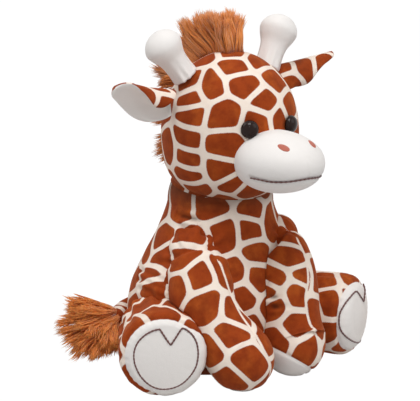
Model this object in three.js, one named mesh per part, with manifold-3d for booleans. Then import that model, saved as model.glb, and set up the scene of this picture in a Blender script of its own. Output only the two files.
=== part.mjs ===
// A seated plush giraffe: printed plush skins over fibre filling, a white muzzle, soles and ossicones,
// moulded safety eyes locked by washers, and tufts of long fur on the head and tail. The soft limbs swing
// at round roots that sit in dimples of the torso, and the head turns and nods on the ball of the neck.
// Millimetres, +Z up. The giraffe faces -Y, its left side is +X, and the origin is on the floor under it.

import * as THREE from "three";
import { mergeVertices } from "three/addons/utils/BufferGeometryUtils.js";
import Module from "manifold-3d";

const wasm = await Module();
wasm.setup();

const LEFT = 1;
const RIGHT = -1;

// ---- driving sizes

const plushThickness = 2.4; // fabric with its short pile
const softGap = 0.3; // between soft pieces that lie on each other
const bedding = 0.5; // how deep each soft form is pressed flat by the floor
const overrun = 4; // how far a cutting tool runs past what it cuts

const torsoWidth = 134;
const torsoDepth = 114;
const neckHeight = 113.5; // the centre of the neck's ball above the floor
const neckRadius = 37;
const neckForward = 5; // the neck's ball ahead of the seat's middle
const neckOpening = 17; // radius of the hole in the top of the torso's skin
const neckSlack = 6; // room round the neck's filling

const headWidth = 95;
const headDepth = 99;
const headHeight = 103;
const headRise = 4; // the head's lowest level above the neck's ball centre
const headForward = 12; // the head's middle ahead of the neck's ball
const headLean = 4; // how far its crown lies ahead of its foot

const muzzleWidth = 60;
const muzzleDepth = 74;
const muzzleHeight = 42;
const muzzleForward = 52; // the muzzle's centre ahead of the head's middle
const muzzleDrop = 16.5; // and below it

const eyeSpread = 16.6; // each eye from the giraffe's middle
const eyeRise = 5; // above the head's middle
const eyeRadius = 6.6;
const eyeBulge = 5;
const shankRadius = 1.7;
const shankLength = 12;
const ribHeight = 0.5;
const washerRadius = 6;
const washerThickness = 1.5;

const shoulderHeight = 85;
const shoulderDegrees = 60; // round the torso from straight ahead
const shoulderDepth = 9; // the arm's root inside the torso's surface
const shoulderRadius = 17.5;
const armRadius = 20.5;
const armLift = 45; // degrees that an arm swings up and ahead
const pawRadius = 22.5;
const pawSeam = 7; // how high the paw's sole reaches
const rightElbowDegrees = 46;
const leftElbowDegrees = 24;
const rightPawSpread = 30; // the paw's middle from the giraffe's middle
const rightPawForward = 72; // and ahead of the seat's middle
const leftPawSpread = 20;
const leftPawForward = 65;

const hipDegrees = 79;
const hipDepth = 10;
const hipRadius = 28;
const footRadius = 29;
const legLength = 55; // from the hip's centre to the middle of the sole
const legSplay = 31; // degrees from straight ahead
const soleRound = 8; // the rounding between the leg's side and its sole
const soleSeam = 5; // how far the sole's panel reaches back over the rounding

const earLength = 50;
const earWidth = 36;
const earCup = 8; // how deep the ear's leaf is cupped
const earCloth = 1.6; // each of the leaf's two layers
const earRoot = 6.5; // radius of the ear's gathered root
const rightEarTurn = 60; // degrees from facing straight down
const leftEarTurn = 36;
const earSeatSpread = 44; // the way from the head's middle to the ear's root
const earSeatBack = 6;
const earSeatRise = 25;
const earTipSpread = 90; // the ear's tip from the giraffe's middle
const earTipBack = 4; // behind the head's middle
const earTipRise = 37; // and above it

const hornSpread = 30; // the foot of each ossicone from the giraffe's middle
const hornBulbSpread = 48; // and its bulb
const hornRise = 57; // the bulb above the head's middle
const hornBack = 9; // the bulb behind the head's middle
const bulbRadius = 13;
const stemRadius = 9.3;

const forelockHeight = 24; // above the crown
const forelockDepth = 82; // from front to back at its top
const forelockWidth = 25;
const forelockBack = 30; // its top's middle behind the crown
const maneReach = 24; // how far the fur stands out behind the head
const maneWidth = 22;

const tailHeight = 31;
const tailRoot = 7.5;
const tailRadius = 6;
const tailSwing = 46; // the tuft's foot behind the seat's middle
const tailBow = 14; // how far the tail's bend lies behind that
const tailDrop = 4; // how far it sinks by its bend
const tuftSpread = 100; // the tuft's end to the right of the giraffe's middle
const tuftRadius = 20;

const bagWidth = 60; // the cloth bag of pellets in the seat
const bagDepth = 44;
const bagHeight = 22;

// ---- solids

const UP = new THREE.Vector3(0, 0, 1);
const AHEAD = new THREE.Vector3(0, -1, 0);
const ACROSS = new THREE.Vector3(1, 0, 0);

// A closed geometry as a solid, whichever way its faces were wound.
function solidOf(geometry) {
  const bare = new THREE.BufferGeometry().setAttribute("position", geometry.getAttribute("position").clone());
  if (geometry.index) bare.setIndex(geometry.index.clone());
  const merged = mergeVertices(bare, 1e-4);
  const points = merged.getAttribute("position").array;
  const corners = Uint32Array.from(merged.index.array);
  const made = new wasm.Manifold(new wasm.Mesh({ numProp: 3, vertProperties: points, triVerts: corners }));
  if (made.volume() > 0) return made;
  for (let i = 0; i < corners.length; i += 3) {
    [corners[i + 1], corners[i + 2]] = [corners[i + 2], corners[i + 1]];
  }
  return new wasm.Manifold(new wasm.Mesh({ numProp: 3, vertProperties: points, triVerts: corners }));
}

// A solid as a geometry whose own origin is at the pivot.
function geometryOf(solid, pivot) {
  const { numProp, numVert, vertProperties, triVerts } = solid.getMesh();
  const points = new Float32Array(numVert * 3);
  for (let i = 0; i < numVert; i++) {
    points[3 * i] = vertProperties[numProp * i] - pivot.x;
    points[3 * i + 1] = vertProperties[numProp * i + 1] - pivot.y;
    points[3 * i + 2] = vertProperties[numProp * i + 2] - pivot.z;
  }
  const geometry = new THREE.BufferGeometry();
  geometry.setAttribute("position", new THREE.BufferAttribute(points, 3));
  geometry.setIndex(new THREE.BufferAttribute(triVerts, 1));
  geometry.computeVertexNormals();
  return geometry;
}

// Whether a closed geometry's faces point out, by the sign of its volume.
function facesOut(geometry) {
  const place = geometry.getAttribute("position");
  const corner = [new THREE.Vector3(), new THREE.Vector3(), new THREE.Vector3()];
  let volume = 0;
  for (let i = 0; i < geometry.index.count; i += 3) {
    corner.forEach((point, k) => point.fromBufferAttribute(place, geometry.index.getX(i + k)));
    volume += corner[0].dot(corner[1].clone().cross(corner[2]));
  }
  return volume > 0;
}

// The same form with its surface moved out along its own normals, or in where the distance is negative.
function grown(geometry, distance) {
  const moved = geometry.clone();
  moved.computeVertexNormals();
  const place = moved.getAttribute("position");
  const normal = moved.getAttribute("normal");
  const reach = facesOut(geometry) ? distance : -distance;
  for (let i = 0; i < place.count; i++) {
    place.setXYZ(
      i,
      place.getX(i) + reach * normal.getX(i),
      place.getY(i) + reach * normal.getY(i),
      place.getZ(i) + reach * normal.getZ(i),
    );
  }
  return moved;
}

// Rings of points joined into a closed surface; the first and the last are single points.
function closedOver(rings) {
  const index = [];
  let start = 0;
  for (let i = 0; i + 1 < rings.length; i++) {
    const [near, far] = [rings[i].length, rings[i + 1].length];
    const next = start + near;
    const sides = Math.max(near, far);
    for (let j = 0; j < sides; j++) {
      const k = (j + 1) % sides;
      if (near > 1) index.push(start + j, start + k, next + (far > 1 ? j : 0));
      if (far > 1) index.push(start + (near > 1 ? k : 0), next + k, next + j);
    }
    start = next;
  }
  return new THREE.BufferGeometry().setFromPoints(rings.flat()).setIndex(index);
}

// A form with a ring at each share of its length: ring(share) gives an oval's centre and its two half-axes.
function loft(ring, rings, sides) {
  return closedOver(
    Array.from({ length: rings + 1 }, (_, i) => {
      const { centre, across, along } = ring(i / rings);
      if (i === 0 || i === rings) return [centre];
      return Array.from({ length: sides }, (_, j) => {
        const angle = (2 * Math.PI * j) / sides;
        const reached = centre.clone().addScaledVector(across, Math.cos(angle));
        return reached.addScaledVector(along, Math.sin(angle));
      });
    }),
  );
}

// Spaced closer towards both ends, as the levels of a ball are.
const eased = (share) => (1 - Math.cos(Math.PI * share)) / 2;

// A smooth curve through [share, value] pairs, read at a share.
function through(pairs) {
  const curve = new THREE.SplineCurve(pairs.map(([share, value]) => new THREE.Vector2(share, value)));
  const steps = 200;
  const read = curve.getPoints(steps);
  return (share) => {
    const found = read.findIndex((point) => point.x >= share);
    const next = found < 0 ? steps : Math.max(1, found);
    const [a, b] = [read[next - 1], read[next]];
    return a.y + ((b.y - a.y) * (share - a.x)) / Math.max(b.x - a.x, Number.EPSILON);
  };
}

// A stuffed tube along a spine: swell(share) gives its half-width, and its ends are rounded over a length.
function tubeForm({ spine, swell, sideways, startRound, endRound, flatness = 1 }) {
  const length = spine.getLength();
  const cap = (reach, distance) => Math.sqrt(Math.max(0, 1 - (1 - Math.min(1, distance / reach)) ** 2));
  return (rings, sides) =>
    loft(
      (share) => {
        const along = eased(share);
        const u = spine.getUtoTmapping(along);
        const tangent = spine.getTangent(u);
        const across = sideways.clone().addScaledVector(tangent, -sideways.dot(tangent)).normalize();
        const up = new THREE.Vector3().crossVectors(tangent, across);
        const size = swell(along) * cap(startRound, along * length) * cap(endRound, (1 - along) * length);
        return {
          centre: spine.getPoint(u),
          across: across.multiplyScalar(size),
          along: up.multiplyScalar(size * flatness),
        };
      },
      rings,
      sides,
    );
}

function ellipsoidForm(middle, width, depth, height) {
  return (rings, sides) =>
    loft(
      (share) => {
        const turn = Math.PI * share;
        return {
          centre: middle.clone().addScaledVector(UP, (-height / 2) * Math.cos(turn)),
          across: ACROSS.clone().multiplyScalar((width / 2) * Math.sin(turn)),
          along: AHEAD.clone().multiplyScalar((depth / 2) * Math.sin(turn)),
        };
      },
      rings,
      sides,
    );
}

// A box from one corner to the other.
function boxBetween(low, high) {
  const size = high.clone().sub(low);
  const middle = low.clone().addScaledVector(size, 1 / 2);
  return solidOf(new THREE.BoxGeometry(size.x, size.y, size.z).translate(middle.x, middle.y, middle.z));
}

// A revolved profile of [radius, height] points, its axis along the direction and its foot at the place.
function turned(profile, sides, direction, place) {
  const outline = profile.map(([radius, height]) => new THREE.Vector2(radius, height));
  const lathe = new THREE.LatheGeometry(outline, sides);
  lathe.rotateX(Math.PI / 2);
  lathe.applyQuaternion(new THREE.Quaternion().setFromUnitVectors(UP, direction));
  return solidOf(lathe.translate(place.x, place.y, place.z));
}

// A plain rod along a direction, from a place.
function rod(place, direction, radius, length, sides) {
  return turned([[0, 0], [radius, 0], [radius, length], [0, length]], sides, direction, place);
}

function ballAt(place, radius, sides) {
  return solidOf(ellipsoidForm(place, 2 * radius, 2 * radius, 2 * radius)(sides / 2, sides));
}

// A ball whose facets lie wholly outside the radius, so that a round root can swing inside it.
function roomAt(place, radius, sides) {
  return ballAt(place, radius / Math.cos(Math.PI / sides) ** 2, sides);
}

const joined = (first, ...rest) => rest.reduce((sum, next) => sum.add(next), first);
const cut = (solid, ...tools) => tools.reduce((rest, tool) => rest.subtract(tool), solid);
const toward = (from, to) => to.clone().sub(from).normalize();

// How far the outside, the hollow and the filling of a piece keep off the skin of a neighbour.
const apart = { outer: softGap, hollow: softGap + plushThickness, filling: 2 * softGap + plushThickness };

// A skin's form, the hollow inside it, its filling, and the room that each layer of a neighbour leaves it.
function layers(form, [rings, sides], [innerRings, innerSides]) {
  const outer = form(rings, sides);
  const inner = form(innerRings, innerSides); // one coarser grid for hollow and filling keeps them parallel
  return {
    form: outer,
    outer: solidOf(outer),
    room: Object.fromEntries(
      Object.entries(apart).map(([layer, far]) => [layer, solidOf(grown(outer, far))]),
    ),
    hollow: solidOf(grown(inner, -plushThickness)),
    filling: solidOf(grown(inner, -plushThickness - softGap)),
  };
}

// A limb's round root in the same four layers.
function rootLayers(place, radius, sides, innerSides) {
  return {
    outer: ballAt(place, radius, sides),
    clear: roomAt(place, radius + softGap, sides),
    hollow: ballAt(place, radius - plushThickness, innerSides),
    filling: ballAt(place, radius - plushThickness - softGap, innerSides),
  };
}

// ---- the torso and the head as levels

const neckCentre = new THREE.Vector3(0, -neckForward, neckHeight);
const headFoot = neckCentre.clone().add(new THREE.Vector3(0, -headForward, headRise));
const headMiddle = headFoot.clone().addScaledVector(UP, headHeight / 2);
const muzzleMiddle = headMiddle.clone().add(new THREE.Vector3(0, -muzzleForward, -muzzleDrop));

// The torso's half-width as shares of its widest, from the floor to the neck's ball.
const torsoSwellShares = [
  [0, 0.8],
  [0.07, 0.92],
  [0.18, 0.985],
  [0.32, 1],
  [0.43, 0.99],
  [0.52, 0.965],
  [0.615, 0.91],
  [0.71, 0.855],
  [0.8, 0.79],
  [0.9, 0.74],
  [1, 0.68],
];
const torsoSwell = through(torsoSwellShares);

// The head's, from its foot to its crown: a broad jaw and a rounder crown.
const headSwellShares = [
  [0, 0],
  [0.02, 0.4],
  [0.07, 0.68],
  [0.14, 0.84],
  [0.21, 0.925],
  [0.29, 0.975],
  [0.4, 1],
  [0.5, 1],
  [0.62, 0.955],
  [0.73, 0.87],
  [0.83, 0.725],
  [0.91, 0.54],
  [0.97, 0.31],
  [1, 0],
];
const headSwell = through(headSwellShares);

// A level of the torso below the neck's ball: its middle and its half-axes at a share of the ball's height.
function torsoLevel(share) {
  const rounding = share ** 4; // the section turns round as it nears the neck's ball
  const width = (torsoWidth / 2) * torsoSwell(share);
  const depth = (torsoDepth / 2) * torsoSwell(share);
  return {
    centre: new THREE.Vector3(0, neckCentre.y * share, neckHeight * share),
    halfWidth: width + (neckRadius - width) * rounding,
    halfDepth: depth + (neckRadius - depth) * rounding,
  };
}

function headLevel(share) {
  return {
    centre: headFoot.clone().add(new THREE.Vector3(0, -headLean * (share - 1 / 2), headHeight * share)),
    halfWidth: (headWidth / 2) * headSwell(share),
    halfDepth: (headDepth / 2) * headSwell(share),
  };
}

const ovalAt = ({ centre, halfWidth, halfDepth }, size = 1) => ({
  centre,
  across: ACROSS.clone().multiplyScalar(halfWidth * size),
  along: AHEAD.clone().multiplyScalar(halfDepth * size),
});

// The torso's form: a flat seat, the swelling pear of the body, and the neck's ball on top.
function torsoForm(rings, sides) {
  const seatRings = 2;
  const domeRings = Math.round(rings / 3);
  const bodyRings = rings - seatRings - domeRings;
  return loft(
    (share) => {
      const ring = Math.round(share * rings);
      const level = Math.max(0, ring - seatRings) / bodyRings;
      const turn = (Math.max(0, ring - seatRings - bodyRings) / domeRings) * (Math.PI / 2);
      const form = torsoLevel(Math.min(1, level));
      form.centre.z += neckRadius * Math.sin(turn) - bedding * Math.max(0, 1 - level);
      return ovalAt(form, Math.min(1, ring / seatRings) * Math.cos(turn));
    },
    rings,
    sides,
  );
}

const headForm = (rings, sides) => loft((share) => ovalAt(headLevel(eased(share))), rings, sides);

// The place on the torso at a height, turned from straight ahead to one side and set in from its surface.
function inTorso(height, side, degrees, depth) {
  const { centre, halfWidth, halfDepth } = torsoLevel(height / neckHeight);
  const angle = THREE.MathUtils.degToRad(degrees);
  const out = new THREE.Vector3(side * Math.sin(angle), -Math.cos(angle), 0);
  return centre.addScaledVector(out, 1 / Math.hypot(out.x / halfWidth, out.y / halfDepth) - depth);
}

// How far out of the head a place lies: one on its surface.
function headReach(place) {
  const { centre, halfWidth, halfDepth } = headLevel((place.z - headFoot.z) / headHeight);
  return Math.hypot((place.x - centre.x) / halfWidth, (place.y - centre.y) / halfDepth);
}

// The place where a line from the head's middle leaves it.
function onHead(direction) {
  let [inside, outside] = [0, headHeight];
  while (outside - inside > softGap / 100) {
    const reach = (inside + outside) / 2;
    const place = headMiddle.clone().addScaledVector(direction, reach);
    const covered = Math.abs(place.z - headMiddle.z) < headHeight / 2 && headReach(place) < 1;
    [inside, outside] = covered ? [reach, outside] : [inside, reach];
  }
  return headMiddle.clone().addScaledVector(direction, inside);
}

// The way out of the head at a place on its surface.
function outOfHead(place) {
  const slope = (step) => headReach(place.clone().add(step)) - headReach(place.clone().sub(step));
  const [x, y, z] = [ACROSS, AHEAD, UP].map((axis) => slope(axis.clone().multiplyScalar(softGap)));
  return new THREE.Vector3(x, -y, z).normalize();
}

// All the room up to a height, and the floor that everything stands on.
const roomReach = 2 * (torsoWidth + legLength);
const upTo = (height) =>
  boxBetween(
    new THREE.Vector3(-roomReach, -roomReach, -overrun),
    new THREE.Vector3(roomReach, roomReach, height),
  );
const underFloor = upTo(0);

// ---- materials

const finish = (color, roughness) => new THREE.MeshStandardMaterial({ color, roughness });
const printedPlush = finish(0xa4481a, 0.85);
const whitePlush = finish(0xe9e5e1, 0.85);
const longFur = finish(0xb8672f, 0.9);
const fibre = finish(0xf4f4f2, 0.95);
const pelletCloth = finish(0xe4e0d8, 0.9);
const blackPlastic = finish(0x120c0b, 0.12);
const palePlastic = finish(0xdcdcd8, 0.5);

// ---- the assembly: each body is a group whose origin is its own pivot

const giraffe = new THREE.Group();

function bodyAt(pivot) {
  const body = new THREE.Group();
  body.position.copy(pivot);
  giraffe.add(body);
  return (name, solid, material) => {
    const mesh = new THREE.Mesh(geometryOf(solid, pivot), material);
    mesh.name = name;
    body.add(mesh);
  };
}

const sideName = (side) => (side === LEFT ? "left" : "right");
const torso = layers(torsoForm, [19, 24], [10, 14]);
const head = layers(headForm, [15, 24], [9, 14]);

// ---- the legs

// The leg's half-width as shares of the foot's, from the hip to the sole.
const legSwellShares = [
  [0, 0.93],
  [0.35, 0.94],
  [0.7, 0.98],
  [0.9, 1],
  [1, 1],
];
const legSwell = through(legSwellShares.map(([place, ofFoot]) => [place, ofFoot * footRadius]));

function makeLeg(side) {
  const angle = THREE.MathUtils.degToRad(legSplay);
  const axis = new THREE.Vector3(side * Math.sin(angle), -Math.cos(angle), 0);
  const hip = inTorso(footRadius - bedding, side, hipDegrees, hipDepth);
  const sole = hip.clone().addScaledVector(axis, legLength);
  const form = tubeForm({
    spine: new THREE.LineCurve3(hip, sole),
    swell: legSwell,
    sideways: UP,
    startRound: hipRadius / 2,
    endRound: soleRound,
  });
  const shape = layers(form, [9, 18], [6, 10]);
  const root = rootLayers(hip, hipRadius, 16, 10);
  const [outer, hollow, filling] = Object.keys(apart).map((layer) =>
    joined(cut(shape[layer], torso.room[layer]), root[layer]),
  );
  const seam = sole.clone().addScaledVector(axis, -soleSeam);
  const beyond = (place) => rod(place, axis, footRadius + overrun, soleSeam + overrun, 12);
  const add = bodyAt(hip);
  add(`leg_skin_${sideName(side)}`, cut(outer, hollow, beyond(seam), underFloor), printedPlush);
  add(`leg_stuffing_${sideName(side)}`, cut(filling, underFloor), fibre);
  const sewn = seam.clone().addScaledVector(axis, softGap);
  add(`foot_sole_${sideName(side)}`, cut(outer.intersect(beyond(sewn)), hollow, underFloor), whitePlush);
  return { ...root, room: shape.room };
}

// ---- the arms, each cut clear of the torso for the whole of its swing

// The arm's half-width along it, as a share of the arm's radius and a share of the paw's.
const armSwellShares = [
  [0, 0.81, 0],
  [0.25, 1, 0],
  [0.55, 1, 0],
  [0.75, 0, 1],
  [1, 0, 1],
];
const armSwell = through(
  armSwellShares.map(([place, ofArm, ofPaw]) => [place, ofArm * armRadius + ofPaw * pawRadius]),
);

const armLiftShares = [1 / 3, 2 / 3, 1];

function makeArm(side, leg, elbowDegrees, pawSpread, pawForward) {
  const shoulder = inTorso(shoulderHeight, side, shoulderDegrees, shoulderDepth);
  const paw = new THREE.Vector3(side * pawSpread, -pawForward, pawRadius - bedding);
  const elbow = inTorso((2 * shoulderHeight) / 3, side, elbowDegrees, 0);
  const way = toward(elbow, paw).add(AHEAD).normalize();
  const pawEnd = paw.clone().addScaledVector(way, pawRadius);
  const spine = new THREE.CatmullRomCurve3([shoulder, elbow, paw, pawEnd]);
  const form = tubeForm({
    spine,
    swell: armSwell,
    sideways: ACROSS,
    startRound: shoulderRadius / 2,
    endRound: pawRadius,
  });
  const shape = layers(form, [13, 14], [8, 10]);
  const root = rootLayers(shoulder, shoulderRadius, 14, 10);
  const passing = (share, layer) => {
    const met = grown(torso.form, softGap + apart[layer]).translate(-shoulder.x, -shoulder.y, -shoulder.z);
    met.rotateX(THREE.MathUtils.degToRad(armLift * share));
    return solidOf(met.translate(shoulder.x, shoulder.y, shoulder.z));
  };
  const [outer, hollow, filling] = Object.keys(apart).map((layer) => {
    const swings = armLiftShares.map((share) => passing(share, layer));
    return joined(cut(shape[layer], torso.room[layer], leg.room[layer], ...swings), root[layer]);
  });
  const add = bodyAt(shoulder);
  add(`arm_skin_${sideName(side)}`, cut(outer, hollow, upTo(pawSeam)), printedPlush);
  add(`arm_stuffing_${sideName(side)}`, cut(filling, underFloor), fibre);
  const sole = cut(outer.intersect(upTo(pawSeam - softGap)), hollow, underFloor);
  add(`paw_sole_${sideName(side)}`, sole, whitePlush);
  return root;
}

const [leftLeg, rightLeg] = [LEFT, RIGHT].map(makeLeg);
const limbs = [
  leftLeg,
  rightLeg,
  makeArm(LEFT, leftLeg, leftElbowDegrees, leftPawSpread, leftPawForward),
  makeArm(RIGHT, rightLeg, rightElbowDegrees, rightPawSpread, rightPawForward),
];

// ---- the tail: a stuffed stem that bends round to the giraffe's right, and its tuft

const tailStart = inTorso(tailHeight, RIGHT, 180, tailRoot / 2);
const tailBend = new THREE.Vector3(-tuftSpread / 3, tailSwing + tailBow, tailHeight - tailDrop);
const tuftStart = new THREE.Vector3(-tuftSpread / 1.7, tailSwing, tailHeight - 2 * tailDrop);
const tuftEnd = new THREE.Vector3(-tuftSpread, tailSwing - tailDrop, tuftRadius - bedding);
const stemForm = tubeForm({
  spine: new THREE.CatmullRomCurve3([tailStart, tailBend, tuftStart]),
  swell: () => tailRadius,
  sideways: UP,
  startRound: tailRadius / 2,
  endRound: tailRadius,
});
const tuftSwellShares = [
  [0, 0.5],
  [0.3, 0.9],
  [0.7, 1],
  [1, 1],
];
const tuftSwell = through(tuftSwellShares.map(([place, ofTuft]) => [place, ofTuft * tuftRadius]));
const tuftForm = tubeForm({
  spine: new THREE.LineCurve3(tuftStart, tuftEnd),
  swell: tuftSwell,
  sideways: UP,
  startRound: tailRadius,
  endRound: tuftRadius / 2,
});
const tailBall = rootLayers(tailStart, tailRoot, 12, 8);
const stem = joined(cut(solidOf(stemForm(9, 8)), torso.room.outer), tailBall.outer);
const addTail = bodyAt(tailStart);
addTail("tail_stem", stem, printedPlush);
addTail(
  "tail_tuft",
  cut(solidOf(tuftForm(8, 14)), solidOf(grown(stemForm(9, 8), softGap)), torso.room.outer, underFloor),
  longFur,
);

// ---- the torso

const bagMiddle = new THREE.Vector3(0, bagDepth / 4, bagHeight / 2);
const bagForm = ellipsoidForm(bagMiddle, bagWidth, bagDepth, bagHeight)(6, 12);
const rooms = [...limbs, tailBall].map((root) => root.clear);
const neckFilling = neckRadius - plushThickness - neckSlack;
const addTorso = bodyAt(new THREE.Vector3());
const neckHole = rod(neckCentre, UP, neckOpening, neckRadius + overrun, 16);
addTorso("torso_skin", cut(torso.outer, torso.hollow, underFloor, neckHole, ...rooms), printedPlush);
const neckRoom = roomAt(neckCentre, neckFilling + softGap, 22);
const bagRoom = solidOf(grown(bagForm, softGap));
addTorso("torso_stuffing", cut(torso.filling, ...rooms, neckRoom, bagRoom), fibre);
addTorso("pellet_bag", cut(solidOf(bagForm), upTo(plushThickness), ...rooms), pelletCloth);

const addNeck = bodyAt(neckCentre);
addNeck("neck_stuffing", ballAt(neckCentre, neckFilling, 22), fibre);

// ---- the head

// The dish under the head, with the given room round the neck's ball.
const underHead = (room) => roomAt(neckCentre, neckRadius + room, 24);
const muzzleForm = ellipsoidForm(muzzleMiddle, muzzleWidth, muzzleDepth, muzzleHeight);
const muzzle = layers(muzzleForm, [10, 18], [7, 12]);

// An eye: a glossy dome on a ribbed shank that runs through the skin to a washer.
const eyeProfile = [
  [0, -shankLength],
  [shankRadius, -shankLength],
  [shankRadius + ribHeight, -shankLength + 3 * ribHeight],
  [shankRadius, -shankLength + 4 * ribHeight],
  [shankRadius, 0],
  [eyeRadius, 0],
  ...[0, 0.25, 0.5, 0.75].map((share) => {
    const turn = (share * Math.PI) / 2;
    return [eyeRadius * Math.cos(turn), ribHeight + (eyeBulge - ribHeight) * Math.sin(turn)];
  }),
  [0, eyeBulge],
];
const washerDepth = plushThickness + 2 * softGap;

const eyes = [LEFT, RIGHT].map((side) => {
  const level = headLevel(1 / 2 + eyeRise / headHeight);
  const forward = level.halfDepth * Math.sqrt(1 - (eyeSpread / level.halfWidth) ** 2);
  const seat = level.centre.add(new THREE.Vector3(side * eyeSpread, -forward, 0));
  const out = outOfHead(seat);
  const back = seat.clone().addScaledVector(out, softGap);
  const inner = back.clone().addScaledVector(out, -washerDepth - washerThickness);
  return {
    side,
    dome: turned(eyeProfile, 12, out, back),
    washer: cut(
      rod(inner, out, washerRadius, washerThickness, 12),
      rod(
        seat.clone().addScaledVector(out, -overrun - shankLength),
        out,
        shankRadius + softGap / 2,
        2 * shankLength,
        12,
      ),
    ),
    domeRoom: rod(
      back.clone().addScaledVector(out, -overrun),
      out,
      eyeRadius + softGap,
      2 * overrun + eyeBulge,
      12,
    ),
    shankRoom: rod(back, out.clone().negate(), shankRadius + ribHeight + softGap, shankLength + softGap, 8),
    washerRoom: rod(
      inner.clone().addScaledVector(out, -softGap),
      out,
      washerRadius + softGap,
      washerThickness + 2 * softGap,
      12,
    ),
  };
});
const eyeRooms = eyes.flatMap((eye) => [eye.shankRoom, eye.washerRoom]);
const domeRooms = eyes.map((eye) => eye.domeRoom);

// An ossicone's half-width along it, as a share of the stem's radius and a share of the bulb's.
const hornSwellShares = [
  [0, 1.15, 0],
  [0.25, 1, 0],
  [0.45, 1.02, 0],
  [0.62, 0, 0.9],
  [0.75, 0, 1],
  [1, 0, 1],
];
const hornSwell = through(
  hornSwellShares.map(([place, ofStem, ofBulb]) => [place, ofStem * stemRadius + ofBulb * bulbRadius]),
);

// An ossicone: a stem that swells into a bulb, open where it is sewn to the head.
function makeHorn(side) {
  const lean = new THREE.Vector3(side * hornSpread, hornBack / 2, headHeight / 2.6);
  const foot = onHead(lean.normalize());
  foot.addScaledVector(toward(foot, headMiddle), overrun);
  const bulb = headMiddle.clone().add(new THREE.Vector3(side * hornBulbSpread, hornBack, hornRise));
  const way = toward(foot, bulb);
  const end = bulb.clone().addScaledVector(way, bulbRadius);
  const form = tubeForm({
    spine: new THREE.LineCurve3(foot, end),
    swell: hornSwell,
    sideways: ACROSS,
    startRound: stemRadius / 4,
    endRound: bulbRadius,
  });
  return layers(form, [10, 12], [6, 8]);
}
const horns = [LEFT, RIGHT].map(makeHorn);

// An ear: two layers of a cupped leaf on a gathered root, the lining facing down and ahead.
const earSwellShares = [
  [0, 0.2],
  [0.1, 0.5],
  [0.3, 0.9],
  [0.48, 1],
  [0.66, 0.9],
  [0.82, 0.62],
  [0.94, 0.3],
  [1, 0.1],
];
const earSwell = through(earSwellShares);

function makeEar(side, turnedUp) {
  const seat = onHead(new THREE.Vector3(side * earSeatSpread, earSeatBack, earSeatRise).normalize());
  const out = outOfHead(seat);
  const root = seat.addScaledVector(out, earRoot / 4);
  const tip = headMiddle.clone().add(new THREE.Vector3(side * earTipSpread, earTipBack, earTipRise));
  const way = toward(root, tip);
  const turn = THREE.MathUtils.degToRad(turnedUp);
  const facing = new THREE.Vector3(0, -Math.sin(turn), -Math.cos(turn));
  facing.addScaledVector(way, -facing.dot(way)).normalize();
  const wide = new THREE.Vector3().crossVectors(way, facing);
  const leaf = (low, high, rings, sides) =>
    closedOver(
      Array.from({ length: rings + 1 }, (_, i) => {
        const along = i / rings;
        const size = (earWidth / 2) * earSwell(along);
        const spot = (across, height) =>
          root
            .clone()
            .addScaledVector(way, earRoot / 2 + (earLength - earRoot / 2) * along)
            .addScaledVector(wide, size * across)
            .addScaledVector(facing, earCup * earSwell(along) * (across ** 2 - 1 / 2) + height);
        if (i === 0 || i === rings) return [spot(0, (low + high) / 2)];
        return Array.from({ length: sides }, (_, j) => {
          const angle = (2 * Math.PI * j) / sides;
          return spot(Math.cos(angle), low + (high - low) * Math.max(0, Math.sin(angle)));
        });
      }),
    );
  const ball = rootLayers(root, earRoot, 10, 8);
  const back = joined(solidOf(leaf(-softGap / 2, -softGap / 2 - earCloth, 8, 10)), ball.outer);
  const inside = solidOf(leaf(softGap / 2, softGap / 2 + earCloth, 8, 10));
  const lining = cut(inside, roomAt(root, earRoot + softGap, 10));
  const add = bodyAt(root);
  add(`ear_back_${sideName(side)}`, back, printedPlush);
  add(`ear_lining_${sideName(side)}`, lining, whitePlush);
  return ball;
}
const ears = [makeEar(LEFT, leftEarTurn), makeEar(RIGHT, rightEarTurn)];

// The fur on the crown and down the back of the head, as plain forms.
const crown = headLevel(1).centre;
const forelockForm = loft(
  (share) => {
    const rise = eased(share);
    const size = 2 / 3 + rise / 3;
    const edge = Math.sqrt(1 - Math.max(0, 3 * rise - 2) ** 2);
    return ovalAt({
      centre: crown.clone().add(
        new THREE.Vector3(0, (forelockBack * (1 + rise)) / 2, forelockHeight * ((4 * rise) / 3 - 1 / 3)),
      ),
      halfWidth: (forelockWidth / 2) * edge,
      halfDepth: (forelockDepth / 2) * size * (1 + edge) / 2,
    });
  },
  8,
  14,
);
const forelock = cut(solidOf(forelockForm), head.room.outer, ...horns.map((horn) => horn.room.outer));
const maneShell = solidOf(grown(headForm(9, 14), maneReach));
const maneSlab = boxBetween(
  new THREE.Vector3(-maneWidth / 2, headMiddle.y + headDepth / 4, headFoot.z + 0.17 * headHeight),
  new THREE.Vector3(maneWidth / 2, roomReach, headFoot.z + 0.8 * headHeight),
);
const nearForelock = solidOf(grown(forelockForm, softGap));
const mane = cut(maneShell.intersect(maneSlab), head.room.outer, underHead(softGap), nearForelock);

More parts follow.
